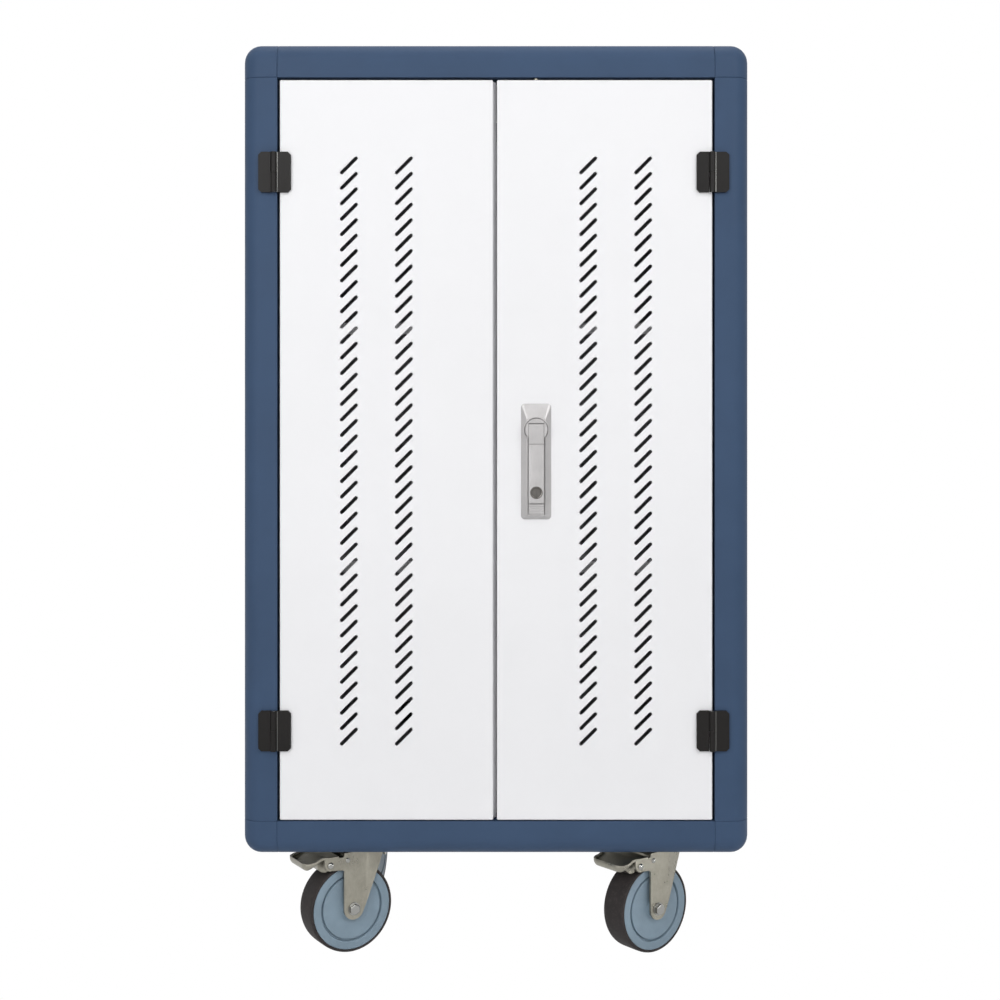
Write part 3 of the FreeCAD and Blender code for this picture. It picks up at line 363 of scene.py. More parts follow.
# Doors: a slotted face sheet inside a tray with rolled edges and a return round the back

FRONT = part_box("front_bottom_rail")[0].y
SHEET, SHEET_EDGE = 1.5 * MM, 0.25 * MM
DOOR_DEPTH, DOOR_LIP, ROLL = 18 * MM, 12 * MM, 2.2 * MM
RIM_RADIUS, RIM_STEPS = 2.2 * MM, 5
FACE_INSET, FACE_RADIUS, FACE_STEPS = ROLL - 0.2 * MM, 0.4 * MM, 2
SLOT_COUNT, SLOT_PITCH, SLOT_HALF, SLOT_RADIUS = 38, 21 * MM, 13.7 * MM, 2.5 * MM
SLOT_SLANT, SLOT_END_STEPS = math.radians(45), 8
FIRST_COLUMN, COLUMN_PITCH, SLOTS_DOWN = 94.2, 74.8, 2.4 * MM
SLOTS_MIDDLE = middle_of(*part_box("corner_pieces"))[2] - SLOTS_DOWN
HUB_OPENING, HUB_OPENING_STEPS = 8 * MM, 24
ROD_HOLE, ROD_HOLE_REACH, ROD_HOLE_STEPS, ROD_BEHIND = 4.5 * MM, 10 * MM, 40, 9 * MM
left_low, left_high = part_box("left_door_panel")
hub_x, _, hub_z = middle_of(*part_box("handle_hub"))
DOOR_OVERLAP = 4 * MM
MEETING_LEFT = left_high.x - DOOR_OVERLAP
STEP_LAP, STEP_GAP = 1 * MM, 0.4 * MM
STEP_FRONT_DEPTH, STEP_EDGE_DEPTH, STEP_BACK_DEPTH = 10.5 * MM, 17 * MM, 17.5 * MM


def slot_outline(x, z):
    points = []
    for end, half in ((0, SLOT_HALF), (1, -SLOT_HALF)):
        cx, cz = x + half * math.cos(SLOT_SLANT), z + half * math.sin(SLOT_SLANT)
        for step in range(SLOT_END_STEPS + 1):
            a = SLOT_SLANT - QUARTER + math.pi * end + math.pi * step / SLOT_END_STEPS
            points.append((cx + SLOT_RADIUS * math.cos(a), cz + SLOT_RADIUS * math.sin(a)))
    return points


def hub_outline():
    return [(hub_x + HUB_OPENING * math.cos(a), hub_z + HUB_OPENING * math.sin(a))
            for a in full_turn(HUB_OPENING_STEPS)]


def flat_sheet(loops):
    """Door's face sheet, flush with the frame's front, from loops of (x, z) points."""
    curve = bpy.data.curves.new("sheet", "CURVE")
    curve.dimensions, curve.fill_mode = "2D", "BOTH"
    for points in loops:
        spline = curve.splines.new("POLY")
        spline.points.add(len(points) - 1)
        for target, (x, z) in zip(spline.points, points):
            target.co = (x, z, 0, 1)
        spline.use_cyclic_u = True
    curve.extrude, curve.bevel_depth, curve.bevel_resolution = SHEET / 2 - SHEET_EDGE, SHEET_EDGE, 1
    curve.offset = -SHEET_EDGE
    shape = placed("sheet", curve)
    mesh = evaluated(shape)
    bpy.data.objects.remove(shape)
    upright = Matrix.Rotation(QUARTER, 4, "X")
    mesh.transform(Matrix.Translation((0, FRONT + SHEET / 2, 0)) @ upright)
    return mesh


def tray_profile():
    """(inset, depth from the face) points round the folded tray's edge, outside first."""
    bend = ROLL - SHEET
    outer, inner = [], []
    for a in quarter_turn(RIM_STEPS):
        outer.append((ROLL * (1 - math.sin(a)), ROLL * (1 - math.cos(a))))
        inner.append((SHEET + bend * (1 - math.sin(a)), SHEET + bend * (1 - math.cos(a))))
    for a in quarter_turn(RIM_STEPS):
        outer.append((ROLL * (1 - math.cos(a)), DOOR_DEPTH - ROLL * (1 - math.sin(a))))
        inner.append((SHEET + bend * (1 - math.cos(a)),
                      DOOR_DEPTH - SHEET - bend * (1 - math.sin(a))))
    outer.append((DOOR_LIP, DOOR_DEPTH))
    inner.append((DOOR_LIP, DOOR_DEPTH - SHEET))
    return outer + inner[::-1]


def rod_hole(z):
    """Cutter for the hole through which a lock rod leaves the right door."""
    profile = [(ROD_HOLE, -ROD_HOLE_REACH), (ROD_HOLE, ROD_HOLE_REACH)]
    place = Vector((hub_x, FRONT + ROD_BEHIND, z))
    return mesh_of("hole", turned(profile, place, ALONG_Z, ROD_HOLE_STEPS, closed=False))


def meeting_step():
    """Sloping strip on the left door's edge, behind the right door."""
    start, end = MEETING_LEFT - STEP_LAP, left_high.x
    section = [(start, FRONT + STEP_FRONT_DEPTH), (end, FRONT + STEP_EDGE_DEPTH),
               (end, FRONT + STEP_BACK_DEPTH), (start, FRONT + STEP_BACK_DEPTH)]
    return mesh_of("step", stack([[Vector((x, y, z)) for x, y in section]
                                  for z in (left_low.z + STEP_GAP, left_high.z - STEP_GAP)]))


def door(side, node):
    """Pressed door, the left one where side is -1 and the right one where it is 1."""
    low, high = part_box(node)
    near, far = low.x, (MEETING_LEFT if side < 0 else high.x)
    centre = Vector(((near + far) / 2, FRONT, (low.z + high.z) / 2))
    width, height = far - near, high.z - low.z
    profile = [(inset, -depth) for inset, depth in tray_profile()]
    rim = mesh_of("rim", stack(plate_rings(centre, width, height, RIM_RADIUS, profile, RIM_STEPS),
                               closed=True))
    face = round_rect(width - 2 * FACE_INSET, height - 2 * FACE_INSET, FACE_RADIUS, FACE_STEPS)
    loops = [[(centre.x + x, centre.z + z) for x, z in face]]
    hinge_edge = near if side < 0 else far
    for column in (FIRST_COLUMN, FIRST_COLUMN + COLUMN_PITCH):
        x = hinge_edge - side * column * MM
        for row in range(SLOT_COUNT):
            z = SLOTS_MIDDLE + (row - (SLOT_COUNT - 1) / 2) * SLOT_PITCH
            loops.append(slot_outline(x, z))
    if side > 0:
        loops.append(hub_outline())
        parts = [cut_by(rim, [rod_hole(low.z), rod_hole(high.z)]), flat_sheet(loops)]
    else:
        parts = [rim, flat_sheet(loops), meeting_step()]
    settle(node.replace("_panel", ".pressed"), merged(parts), node)


door(-1, "left_door_panel")
door(1, "right_door_panel")


# Frame, panels, tiers, hinges and the rest of the sheet metal, with rounded edges

EDGES = {
    "front_left_post": 0.7, "front_right_post": 0.7, "rear_posts": 0.7, "front_top_rail": 0.7,
    "front_bottom_rail": 0.7, "rear_rails": 0.5, "side_rails": 0.5, "corner_pieces": 1.3,
    "top_panel": 0.6, "floor_panel": 0.6, "left_side_panel": 0.6, "right_side_panel": 0.6,
    "rear_panel": 0.3, "shelves": 0.7, "dividers": 0.6, "shelf_brackets": 0.5,
    "power_strips": 0.8, "mains_inlet": 0.4, "switch_frame": 0.5, "switch_rocker": 0.4,
    "magnet_catches": 0.8, "left_door_stiffener": 0.4, "right_door_stiffener": 0.4,
    "frame_hinge_leaves": 0.5, "left_door_hinge_leaves": 0.5, "right_door_hinge_leaves": 0.5,
    "hinge_pins": 0.3, "gear_housing": 0.5, "rod_guides": 0.5, "upper_lock_rod": 0.3,
    "lower_lock_rod": 0.3, "drive_pinion": 0.12, "lever_pin": 0.2, "handle_hub": 0.3,
    "release_button": 0.2, "castor_heads": 0.4,
}
for name, width in EDGES.items():
    softened(name, width * MM)


# Thin bright steel strips right of each hinge's knuckles, a painted highlight along the knuckles, in
# millimetres from the hinge's pin

HINGE_PIN, HINGE_HEIGHT = 2, 55
LINE_START, LINE_END, LINE_FRONT, LINE_BACK = 4.5, 5.1, 4.75, 4.25
LINE_GAP, LINE_ROUND, LINE_STEPS = 0.5, 0.2, 2

pins_low, pins_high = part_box("hinge_pins")
for node, x in (("left_door_hinge_leaves", pins_low.x + HINGE_PIN * MM),
                ("frame_hinge_leaves", pins_high.x - HINGE_PIN * MM)):
    painted_highlight_strips = []
    for foot in (pins_low.z, pins_high.z - HINGE_HEIGHT * MM):
        low = (x + LINE_START * MM, FRONT - LINE_FRONT * MM, foot + LINE_GAP * MM)
        high = (x + LINE_END * MM, FRONT - LINE_BACK * MM, foot + (HINGE_HEIGHT - LINE_GAP) * MM)
        painted_highlight_strips.append(mesh_of("line", bar(low, high, LINE_ROUND * MM, LINE_STEPS)))
    # Painted highlight: bright steel strips stand where the knuckles catch the light
    settle(node + ".painted_highlight", merged(painted_highlight_strips), node, SHARP_CAST, slot="pin_steel",
           replaces=False)


# Swing handle, in millimetres out from the front and up or down from the base's middle

base_low, base_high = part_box("handle_base")
button_low, button_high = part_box("release_button")
lever_low, lever_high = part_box("handle_lever")
base_x, _, base_z = middle_of(base_low, base_high)
HANDLE = Vector((base_x, FRONT, base_z))
HUB_UP = 43.2
HUB_Z = HANDLE.z + HUB_UP * MM
LOCK_Z = middle_of(*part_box("key_plug"))[2]
BASE_W, BASE_H = base_high.x - base_low.x, base_high.z - base_low.z
SKIRT = [(0, 0, 0, 0, 4.8), (1.0, 0, 0, 0, 4.8), (1.4, 0.25, 0.3, 0.25, 4.7),
         (7.4, 6.9, 18.2, 4.6, 2.4), (7.85, 7.5, 19.4, 5.0, 2.1), (8.0, 8.2, 20.4, 5.5, 1.8)]
POCKET, POCKET_FLOOR, BORE, BORE_FLOOR, BEYOND = 15.8, 4.0, 6.05, -2, 20
BUTTON_GAP, BUTTON_FLOOR = 0.2, 2
GROOVES, GROOVE_FLOOR, GROOVE_FOOT = ((-11.1, -10.5), (10.5, 11.9)), 4.5, 72
COLLAR = [(15.8, 7.6), (15.95, 8.8), (16.5, 9.15), (17.1, 8.9), (17.4, 7.4)]
LEVER_GAP, LEVER_GAP_FLOOR, LEVER_GAP_TOP, LEVER_GAP_LENGTH = 0.9, 5, 12, 20
RIM_GAP_LEFT, RIM_GAP_RIGHT, RIM_WIDTH, RIM_ROUND = 0.9, 1.6, 1.4, 0.5
RIM_OUT, RIM_BASE, RIM_FOOT, RIM_HEAD = 9.2, 7.0, 72.8, 9
LEVER_WIDTH, LEVER_BACK, LEVER_ROUND, LEVER_CORNER_STEPS, MOST_ROUND = 20.7, 9.5, 0.8, 5, 0.45
HEAD_Z, HEAD_OUT, HEAD_HALF, HEAD_STEPS = 48.7, 12.5, 3.0, 8
HEAD_NARROWING, HEAD_ROUND = 0.6, 0.7
NECK = [(26.0, 15.5), (24.4, 15.5), (24.0, 15.3), (23.6, 14.5), (23.0, 14.0)]
SWELL_Z, SWELL_LENGTH, SWELL_STEPS = 23.0, 46.8, 16
SWELL_OUT, SWELL_RISE, SWELL_POWER = 13.9, 2.6, 1.3
GRIP_OUT, GRIP = 16.5, (-24.6, -32.0, -50.0, -55.2)
LEVER_FOOT = [(-55.9, 9.6, 16.4, 20.5), (-56.3, 10.0, 16.0, 19.8)]
LOCK_HOLE, LOCK_HOLE_FLOOR = 8.5, 5
SLEEVE = [(6.2, 9.6), (6.2, 16.5), (6.45, 16.9), (7.6, 17.2), (8.2, 17.1), (8.5, 16.8), (8.5, 9.6)]
PLUG = [(AXIS, 9.6), (6.0, 9.6), (6.15, 9.8), (6.15, 16.2), (5.8, 16.6), (AXIS, 16.8)]
KEYWAY_HALF_WIDTH, KEYWAY_HALF_HEIGHT, KEYWAY_FLOOR = 0.7, 3.8, 12.8
TOOL_ROUND, TOOL_STEPS = 0.8, 4
WIDE_STEPS, ROUND_STEPS, NARROW_STEPS = 96, 72, 64


def base_ring(out, side, head, foot, radius):
    """Ring of the handle's base at one height, from its insets at the sides, head and foot."""
    centre = HANDLE + Vector((0, -out * MM, (foot - head) / 2 * MM))
    ring = round_rect(BASE_W - 2 * side * MM, BASE_H - (head + foot) * MM, radius * MM)
    return [centre + Vector((x, 0, z)) for x, z in ring]


def tool_box(x_low, x_high, z_low, z_high, floor, out):
    """Cutter with its sides in metres, between two distances out in millimetres."""
    centre = Vector(((x_low + x_high) / 2, 0, (z_low + z_high) / 2))
    profile = [(0, -(FRONT - floor * MM)), (0, -(FRONT - out * MM))]
    return mesh_of("tool", stack(plate_rings(
        centre, x_high - x_low, z_high - z_low, TOOL_ROUND * MM, profile, TOOL_STEPS)))


def facing(points, z, segments=ROUND_STEPS, closed=False):
    """Solid turned about the line out of the handle at z, from (radius, distance out) points."""
    profile = [(radius * MM, out * MM) for radius, out in points]
    place = Vector((HANDLE.x, FRONT, z))
    return mesh_of("turned", turned(profile, place, -ALONG_Y, segments, closed))


def round_hole(radius, floor, z, segments):
    return facing([(radius, floor), (radius, BEYOND)], z, segments)


def handle_base():
    cutters = [
        round_hole(POCKET, POCKET_FLOOR, HUB_Z, WIDE_STEPS),
        round_hole(BORE, BORE_FLOOR, HUB_Z, NARROW_STEPS),
        tool_box(button_low.x - BUTTON_GAP * MM, button_high.x + BUTTON_GAP * MM,
                 button_low.z - BUTTON_GAP * MM, button_high.z + BUTTON_GAP * MM,
                 BUTTON_FLOOR, BEYOND)]
    for low, high in GROOVES:
        cutters.append(tool_box(HANDLE.x + low * MM, HANDLE.x + high * MM,
                                HANDLE.z - GROOVE_FOOT * MM, HUB_Z, GROOVE_FLOOR, BEYOND))
    body = mesh_of("base", stack([base_ring(*row) for row in SKIRT]))
    return merged([cut_by(body, cutters)])


def collar():
    """Raised ring round the hub, open where the lever lies in it."""
    gap = tool_box(lever_low.x - LEVER_GAP * MM, lever_high.x + LEVER_GAP * MM,
                   HUB_Z - LEVER_GAP_LENGTH * MM, HUB_Z, LEVER_GAP_FLOOR, LEVER_GAP_TOP)
    return cut_by(facing(COLLAR, HUB_Z, WIDE_STEPS, closed=True), [gap])


def rim(side, gap):
    """Low rim beside the lever, from the hub's collar to the foot of the base."""
    inner = lever_high.x - HANDLE.x + gap * MM
    left, right = sorted([HANDLE.x + side * inner, HANDLE.x + side * (inner + RIM_WIDTH * MM)])
    low = (left, FRONT - RIM_OUT * MM, HANDLE.z - RIM_FOOT * MM)
    high = (right, FRONT - RIM_BASE * MM, HUB_Z - RIM_HEAD * MM)
    return mesh_of("rail", bar(low, high, RIM_ROUND * MM))


def lever_ring(z, back, front, width=LEVER_WIDTH, edge=LEVER_ROUND):
    size = front - back
    radius = min(edge, size * MOST_ROUND)
    points = round_rect(width * MM, size * MM, radius * MM, LEVER_CORNER_STEPS)
    middle = (back + front) / 2
    return [Vector((HANDLE.x + x, FRONT - middle * MM + y, HANDLE.z + z * MM)) for x, y in points]


def lever():
    rings = []
    for a in quarter_turn(HEAD_STEPS)[1:]:
        rise, half = HEAD_HALF * math.cos(a), HEAD_HALF * math.sin(a)
        width = LEVER_WIDTH - HEAD_NARROWING * (1 - math.sin(a))
        rings.append(lever_ring(HEAD_Z + rise, HEAD_OUT - half, HEAD_OUT + half, width, HEAD_ROUND))
    rings += [lever_ring(z, LEVER_BACK, front) for z, front in NECK]
    for step in range(1, SWELL_STEPS):
        t = step / SWELL_STEPS
        rings.append(lever_ring(SWELL_Z - t * SWELL_LENGTH, LEVER_BACK,
                                SWELL_OUT + SWELL_RISE * t ** SWELL_POWER))
    rings += [lever_ring(z, LEVER_BACK, GRIP_OUT) for z in GRIP]
    rings += [lever_ring(*row) for row in LEVER_FOOT]
    hole = round_hole(LOCK_HOLE, LOCK_HOLE_FLOOR, LOCK_Z, ROUND_STEPS)
    return cut_by(mesh_of("lever", stack(rings)), [hole])


def key_plug():
    half_width, half_height = KEYWAY_HALF_WIDTH * MM, KEYWAY_HALF_HEIGHT * MM
    keyway = tool_box(HANDLE.x - half_width, HANDLE.x + half_width,
                      LOCK_Z - half_height, LOCK_Z + half_height, KEYWAY_FLOOR, BEYOND)
    return cut_by(facing(PLUG, LOCK_Z, NARROW_STEPS), [keyway])


settle("handle_base.cast", handle_base(), "handle_base", SHARP_CAST)
settle("handle_base.collar", collar(), "handle_base", SHARP_CAST, replaces=False)
rims = merged([rim(-1, RIM_GAP_LEFT), rim(1, RIM_GAP_RIGHT)])
settle("handle_base.rims", rims, "handle_base", SHARP_CAST, replaces=False)
settle("handle_lever.cast", lever(), "handle_lever", SHARP_LEVER)
settle("lock_cylinder.turned", facing(SLEEVE, LOCK_Z, closed=True), "lock_cylinder", SHARP_CAST)
settle("key_plug.turned", key_plug(), "key_plug", SHARP_CAST)


# Castors: moulded wheels with grooved faces, round-shouldered tyres, bent forks, pressed pedals
# and domed pins, in a castor's own millimetres with x from the kingpin towards the axle

def both_sides(half):
    return half + [(radius, -reach) for radius, reach in reversed(half)]


CORE = both_sides([
    (6.05, 23.0), (12.6, 23.0), (13.6, 22.6), (14.0, 21.8), (14.1, 19.0), (14.8, 18.4), (20, 18.0),
    (30, 18.2), (40, 18.8), (42.6, 19.0), (43.2, 18.8), (43.5, 18.1), (43.8, 15.0), (46.2, 15.0),
    (46.5, 18.2), (46.8, 19.1), (47.3, 19.45), (52, 19.55), (56.8, 19.45), (57.7, 19.3),
    (58.1, 18.7)])
TYRE = both_sides([
    (57.8, 18.4), (58.3, 19.3), (59.1, 19.9), (60.2, 19.85), (61.1, 19.3), (61.8, 18.2),
    (62.2, 16.6), (62.4, 14.0), (62.5, 10.0)])
LEG_OUT, AXLE, PIN, RIVET = 26.5, (22.0, 62.5), (59.0, 128.5), (31.4, 131.5)
NOSE, NOSE_CORNERS, NOSE_STEPS, CORNER_SEARCH = 37.0, ((118.5, 2.5), (136.5, 4.5)), 5, 0.3
FORK_SAME_POINT, FORK_ROUND, FORK_ANGLE, FORK_CUTS, CUT_SAME_POINT = 0.002, 0.6, 30, 8, 0.001
WHEEL_STEPS, PIN_STEPS, RIVET_STEPS, CAM_STEPS = 128, 40, 32, 56
BEND_START, BEND_RUN, BEND_SLOPE = 6.0, 8.0, 0.26
AXLE_RADIUS, PIN_RADIUS, PIN_FOOT, PIN_SHOULDER = 6.0, 3.0, LEG_OUT - 1, 29.7
PIN_HEAD, PIN_HEAD_START, PIN_DOME = 4.6, 29.8, 2.6
WASHER = [(AXIS, 0), (9.0, 0), (9.2, 0.3), (9.0, 0.9), (AXIS, 0.9)]
HEX_FLAT, HEX_SIDE, HEX_STEPS = 7.0, math.pi / 3, 72
HEX_RINGS = [(0.9, 8.0, 0), (4.2, 7.8, 0), (4.8, 7.8, 0.35), (5.5, 7.8, 1.3)]
RIVET_RADIUS, RIVET_SUNK, RIVET_DOME = 3.6, 1.2, 1.5
DOME_STEPS, DOME_SHARE = 6, 0.97
joints = {joint["name"]: joint for joint in frame["joints"]}


def castor_place(castor):
    """Matrix from a castor's own millimetres to the frame."""
    swivel = Vector(joints[castor + "_swivel"]["pos_m"])
    roll = Vector(joints[castor + "_roll"]["pos_m"])
    along = Vector((roll.x - swivel.x, roll.y - swivel.y, 0)).normalized()
    turn = Matrix((along, ALONG_Z.cross(along), ALONG_Z)).transposed().to_4x4()
    return Matrix.Translation((swivel.x, swivel.y, 0)) @ turn @ Matrix.Scale(MM, 4)


def bend_at(x):
    """How far a fork's leg lies inside its flat plane at x, behind the upright bend."""
    past = BEND_START - x
    if past <= 0:
        return 0.0
    if past < BEND_RUN:
        return BEND_SLOPE * past * past / (2 * BEND_RUN)
    return BEND_SLOPE * (past - BEND_RUN / 2)


def fork_mesh(castor, place):
    """Fork with a pressed upright bend in both legs and rounded edges."""
    bm = cleaned(castor + "_fork", place, FORK_SAME_POINT)
    for height, radius in NOSE_CORNERS:
        found = [edge for edge in bm.edges if all(
            abs(vert.co.x - NOSE) < CORNER_SEARCH and abs(vert.co.z - height) < CORNER_SEARCH
            for vert in edge.verts)]
        bmesh.ops.bevel(bm, geom=found, offset=radius, segments=NOSE_STEPS, **BEVEL)
    soften_edges(bm, FORK_ROUND, FORK_ANGLE)
    for step in range(FORK_CUTS):
        x = BEND_START - BEND_RUN * step / (FORK_CUTS - 1)
        bmesh.ops.bisect_plane(bm, geom=bm.verts[:] + bm.edges[:] + bm.faces[:],
                               dist=CUT_SAME_POINT, plane_co=(x, 0, 0), plane_no=(1, 0, 0))
    for vert in bm.verts:
        vert.co.y -= bend_at(vert.co.x) * vert.co.y / LEG_OUT
    bm.transform(place)
    return mesh_of(castor + "_fork", bm)


def across(points, x, z, place, segments=PIN_STEPS):
    """Solid turned about a line across the fork, from (radius, distance out) points."""
    bm = turned(points, Vector((x, 0, z)), ALONG_Y, segments, closed=False)
    bm.transform(place)
    return mesh_of("turned", bm)


def rod(radius):
    """Profile of a rod from one leg of the fork to the other."""
    return [(AXIS, -LEG_OUT), (radius, -LEG_OUT), (radius, LEG_OUT), (AXIS, LEG_OUT)]


def dome(radius, start, height):
    """Profile of a domed head that starts at one distance out."""
    return [(radius * math.cos(a * DOME_SHARE), start + height * math.sin(a * DOME_SHARE))
            for a in quarter_turn(DOME_STEPS)]


def hex_head(place, side):
    """Six-sided bolt head with a turned chamfer."""
    rings = []
    for out, limit, shrink in HEX_RINGS:
        ring = []
        for turn in full_turn(HEX_STEPS):
            flat = HEX_FLAT / math.cos((turn + HEX_SIDE / 2) % HEX_SIDE - HEX_SIDE / 2)
            reach = min(flat, limit) - shrink
            ring.append(Vector((AXLE[0] + reach * math.cos(turn), side * (LEG_OUT + out),
                                AXLE[1] + reach * math.sin(turn))))
        rings.append(ring)
    bm = stack(rings)
    bm.transform(place)
    return mesh_of("head", bm)


def pins_mesh(place, braked):
    """Axle with heads and washers, and the pedal's pin with domed ends."""
    parts = [across(rod(AXLE_RADIUS), *AXLE, place)]
    for side in (-1, 1):
        parts.append(hex_head(place, side))
        washer = [(radius, side * (LEG_OUT + out)) for radius, out in WASHER]
        parts.append(across(washer, *AXLE, place))
    if braked:
        parts.append(across(rod(PIN_RADIUS), *PIN, place))
        head = [(PIN_RADIUS, PIN_FOOT), (PIN_RADIUS, PIN_SHOULDER)]
        head += dome(PIN_HEAD, PIN_HEAD_START, PIN_DOME)
        for side in (-1, 1):
            parts.append(across([(radius, side * out) for radius, out in head], *PIN, place))
    return merged(parts)


def rivets_mesh(place):
    """Two domed rivets on the outside of the legs."""
    head = [(RIVET_RADIUS, LEG_OUT - RIVET_SUNK)] + dome(RIVET_RADIUS, LEG_OUT, RIVET_DOME)
    return merged([
        across([(radius, side * out) for radius, out in head], *RIVET, place, RIVET_STEPS)
        for side in (-1, 1)])


# Brake pedals: a pressed pan with a rolled bead, ears outside the fork's legs and a cam between them

PAN_BACK, PAN_FRONT, PAN_HALF, PAN_CORNER, PAN_RIM = 47.5, 98.3, 31.8, 13.0, 6.5
PAN_UP, PAN_SLOPE, PAN_EASE, PAN_DROP, PAN_THICKNESS = 11.7, 0.57, 3.0, 13.0, 2.4
LEVEL_END, RIM_RISE, RIM_EXTRA = 66, 4.2, 4.0
RIM_GROWS, RIM_EXTRA_GROWS = (63, 78), (80, 93)
PAN_STEPS, PAN_HALF_STEPS, PAN_TIP = 44, 20, 0.02
BEAD_RADIUS, BEAD_DOWN, BEAD_IN, BEAD_THIN, BEAD_GROWS = 1.75, 1.2, 1.6, 0.35, (66, 80)
BEAD_SIDE_STEPS, BEAD_CORNER_STEPS, BEAD_STEPS, BEAD_TIP, BEAD_EDGE = 8, 10, 16, 0.05, 0.998
PAN_INSIDE = 60
EAR = [(-8, 0), (-7, -4), (-4, -7), (0, -8), (4, -7), (7, -4), (8, 0), (9, 10.4), (-9, 10.4)]
EAR_INNER, EAR_OUTER, EAR_ROUND, EAR_ANGLE = 27.1, 29.6, 0.5, 1.2
CAM = [(3.1, -14), (10.8, -14), (11.4, -13.4), (11.4, 13.4), (10.8, 14), (3.1, 14)]
CAM_FORWARD, CAM_DOWN = 1.86, 1.8


def smooth(span, value):
    start, end = span
    t = max(0.0, min(1.0, (value - start) / (end - start)))
    return t * t * (3 - 2 * t)


def pan_half_width(x):
    """Half the width of the pedal's outline, with round front corners."""
    past = x - (PAN_FRONT - PAN_CORNER)
    if past <= 0:
        return PAN_HALF
    return PAN_HALF - PAN_CORNER + math.sqrt(max(PAN_CORNER ** 2 - past ** 2, 0))


def pan_depth(x, y):
    """Distance of a point inside the pedal's outline from its front and sides."""
    cx, cy = PAN_FRONT - PAN_CORNER, PAN_HALF - PAN_CORNER
    if x > cx and abs(y) > cy:
        return PAN_CORNER - math.hypot(x - cx, abs(y) - cy)
    return min(PAN_FRONT - x, PAN_HALF - abs(y))


def pan_height(x, y):
    """Height of the pressed pan's upper face: level at the back, then down to a raised rim."""
    past = max(x - LEVEL_END, 0)
    slope = -PAN_SLOPE * (past - PAN_EASE * (1 - math.exp(-past / PAN_EASE)))
    near = min(max(1 - pan_depth(x, y) / PAN_RIM, 0.0), 1.0)
    rise = (RIM_RISE + RIM_EXTRA * smooth(RIM_EXTRA_GROWS, x)) * smooth(RIM_GROWS, x)
    return PIN[1] + PAN_UP + max(slope, -PAN_DROP) + rise * (1 - math.sqrt(1 - near * near))


def pan_mesh(place):
    """Pressed pan of the pedal."""
    bm = bmesh.new()
    xs = [PAN_BACK + (PAN_FRONT - PAN_BACK) * math.sin(a) for a in quarter_turn(PAN_STEPS)]
    ts = [math.sin(QUARTER * step / PAN_HALF_STEPS)
          for step in range(-PAN_HALF_STEPS, PAN_HALF_STEPS + 1)]
    rows = []
    for x in xs:
        half = pan_half_width(min(x, PAN_FRONT - PAN_TIP))
        rows.append([(x, t * half, pan_height(x, t * half)) for t in ts])
    tops = [[bm.verts.new(point) for point in row] for row in rows]
    backs = [[bm.verts.new((x, y, z - PAN_THICKNESS)) for x, y, z in row] for row in rows]
    for grid, order in ((tops, 1), (backs, -1)):
        for a, b in zip(grid, grid[1:]):
            for i in range(len(ts) - 1):
                bm.faces.new([a[i], b[i], b[i + 1], a[i + 1]][::order])
    last = len(ts) - 1
    for i in range(last):
        bm.faces.new((tops[0][i], tops[0][i + 1], backs[0][i + 1], backs[0][i]))
        bm.faces.new((tops[-1][i + 1], tops[-1][i], backs[-1][i], backs[-1][i + 1]))
    for k in range(len(rows) - 1):
        bm.faces.new((tops[k + 1][0], tops[k][0], backs[k][0], backs[k + 1][0]))
        bm.faces.new((tops[k][last], tops[k + 1][last], backs[k + 1][last], backs[k][last]))
    bm.transform(place)
    return mesh_of("pan", bm)


def bead_path():
    """(x, y) points from the back of one side of the pan round its front to the other side."""
    path = []
    cx = PAN_FRONT - PAN_CORNER
    for side, order in ((-1, 1), (1, -1)):
        half = [(LEVEL_END + (cx - LEVEL_END) * step / BEAD_SIDE_STEPS, side * PAN_HALF)
                for step in range(BEAD_SIDE_STEPS)]
        cy = side * (PAN_HALF - PAN_CORNER)
        half += [(cx + PAN_CORNER * math.sin(a), cy + side * PAN_CORNER * math.cos(a))
                 for a in quarter_turn(BEAD_CORNER_STEPS)]
        path += half[::order]
    return path


def bead_mesh(place):
    """Rolled bead along the pan's front and sides, thinner towards the back."""
    rings = []
    path = bead_path()
    for i, (x, y) in enumerate(path):
        before, after = path[max(i - 1, 0)], path[min(i + 1, len(path) - 1)]
        ahead = Vector((after[0] - before[0], after[1] - before[1], 0)).normalized()
        outward = Vector((ahead.y, -ahead.x, 0))
        outward = outward if outward.dot(Vector((x - PAN_INSIDE, y, 0))) > 0 else -outward
        size = BEAD_RADIUS * (BEAD_THIN + (1 - BEAD_THIN) * smooth(BEAD_GROWS, x))
        z = pan_height(min(x, PAN_FRONT - BEAD_TIP), y * BEAD_EDGE) - BEAD_DOWN
        middle = Vector((x, y, z)) - outward * BEAD_IN
        rings.append([middle + outward * (size * math.cos(a)) + Vector((0, 0, size * math.sin(a)))
                      for a in full_turn(BEAD_STEPS)])
    bm = stack(rings)
    bm.transform(place)
    return mesh_of("bead", bm)


def ears_mesh(place):
    """Ears outside the fork's legs, and the cam and its carrier between them."""
    bm = bmesh.new()
    for low, high in ((EAR_INNER, EAR_OUTER), (-EAR_OUTER, -EAR_INNER)):
        ends = [[bm.verts.new((PIN[0] + x, y, PIN[1] + z)) for x, z in EAR] for y in (low, high)]
        for i in range(len(EAR)):
            j = (i + 1) % len(EAR)
            bm.faces.new((ends[0][i], ends[0][j], ends[1][j], ends[1][i]))
        for end in ends:
            bm.faces.new(end)
    bmesh.ops.recalc_face_normals(bm, faces=bm.faces)
    sharp = [edge for edge in bm.edges if edge.calc_face_angle(0) > EAR_ANGLE]
    bmesh.ops.bevel(bm, geom=sharp, offset=EAR_ROUND, segments=EDGE_STEPS, profile=0.5, affect="EDGES")
    bm.transform(place)
    cam = across(CAM, PIN[0] + CAM_FORWARD, PIN[1] - CAM_DOWN, place, CAM_STEPS)
    return merged([mesh_of("ears", bm), cam])


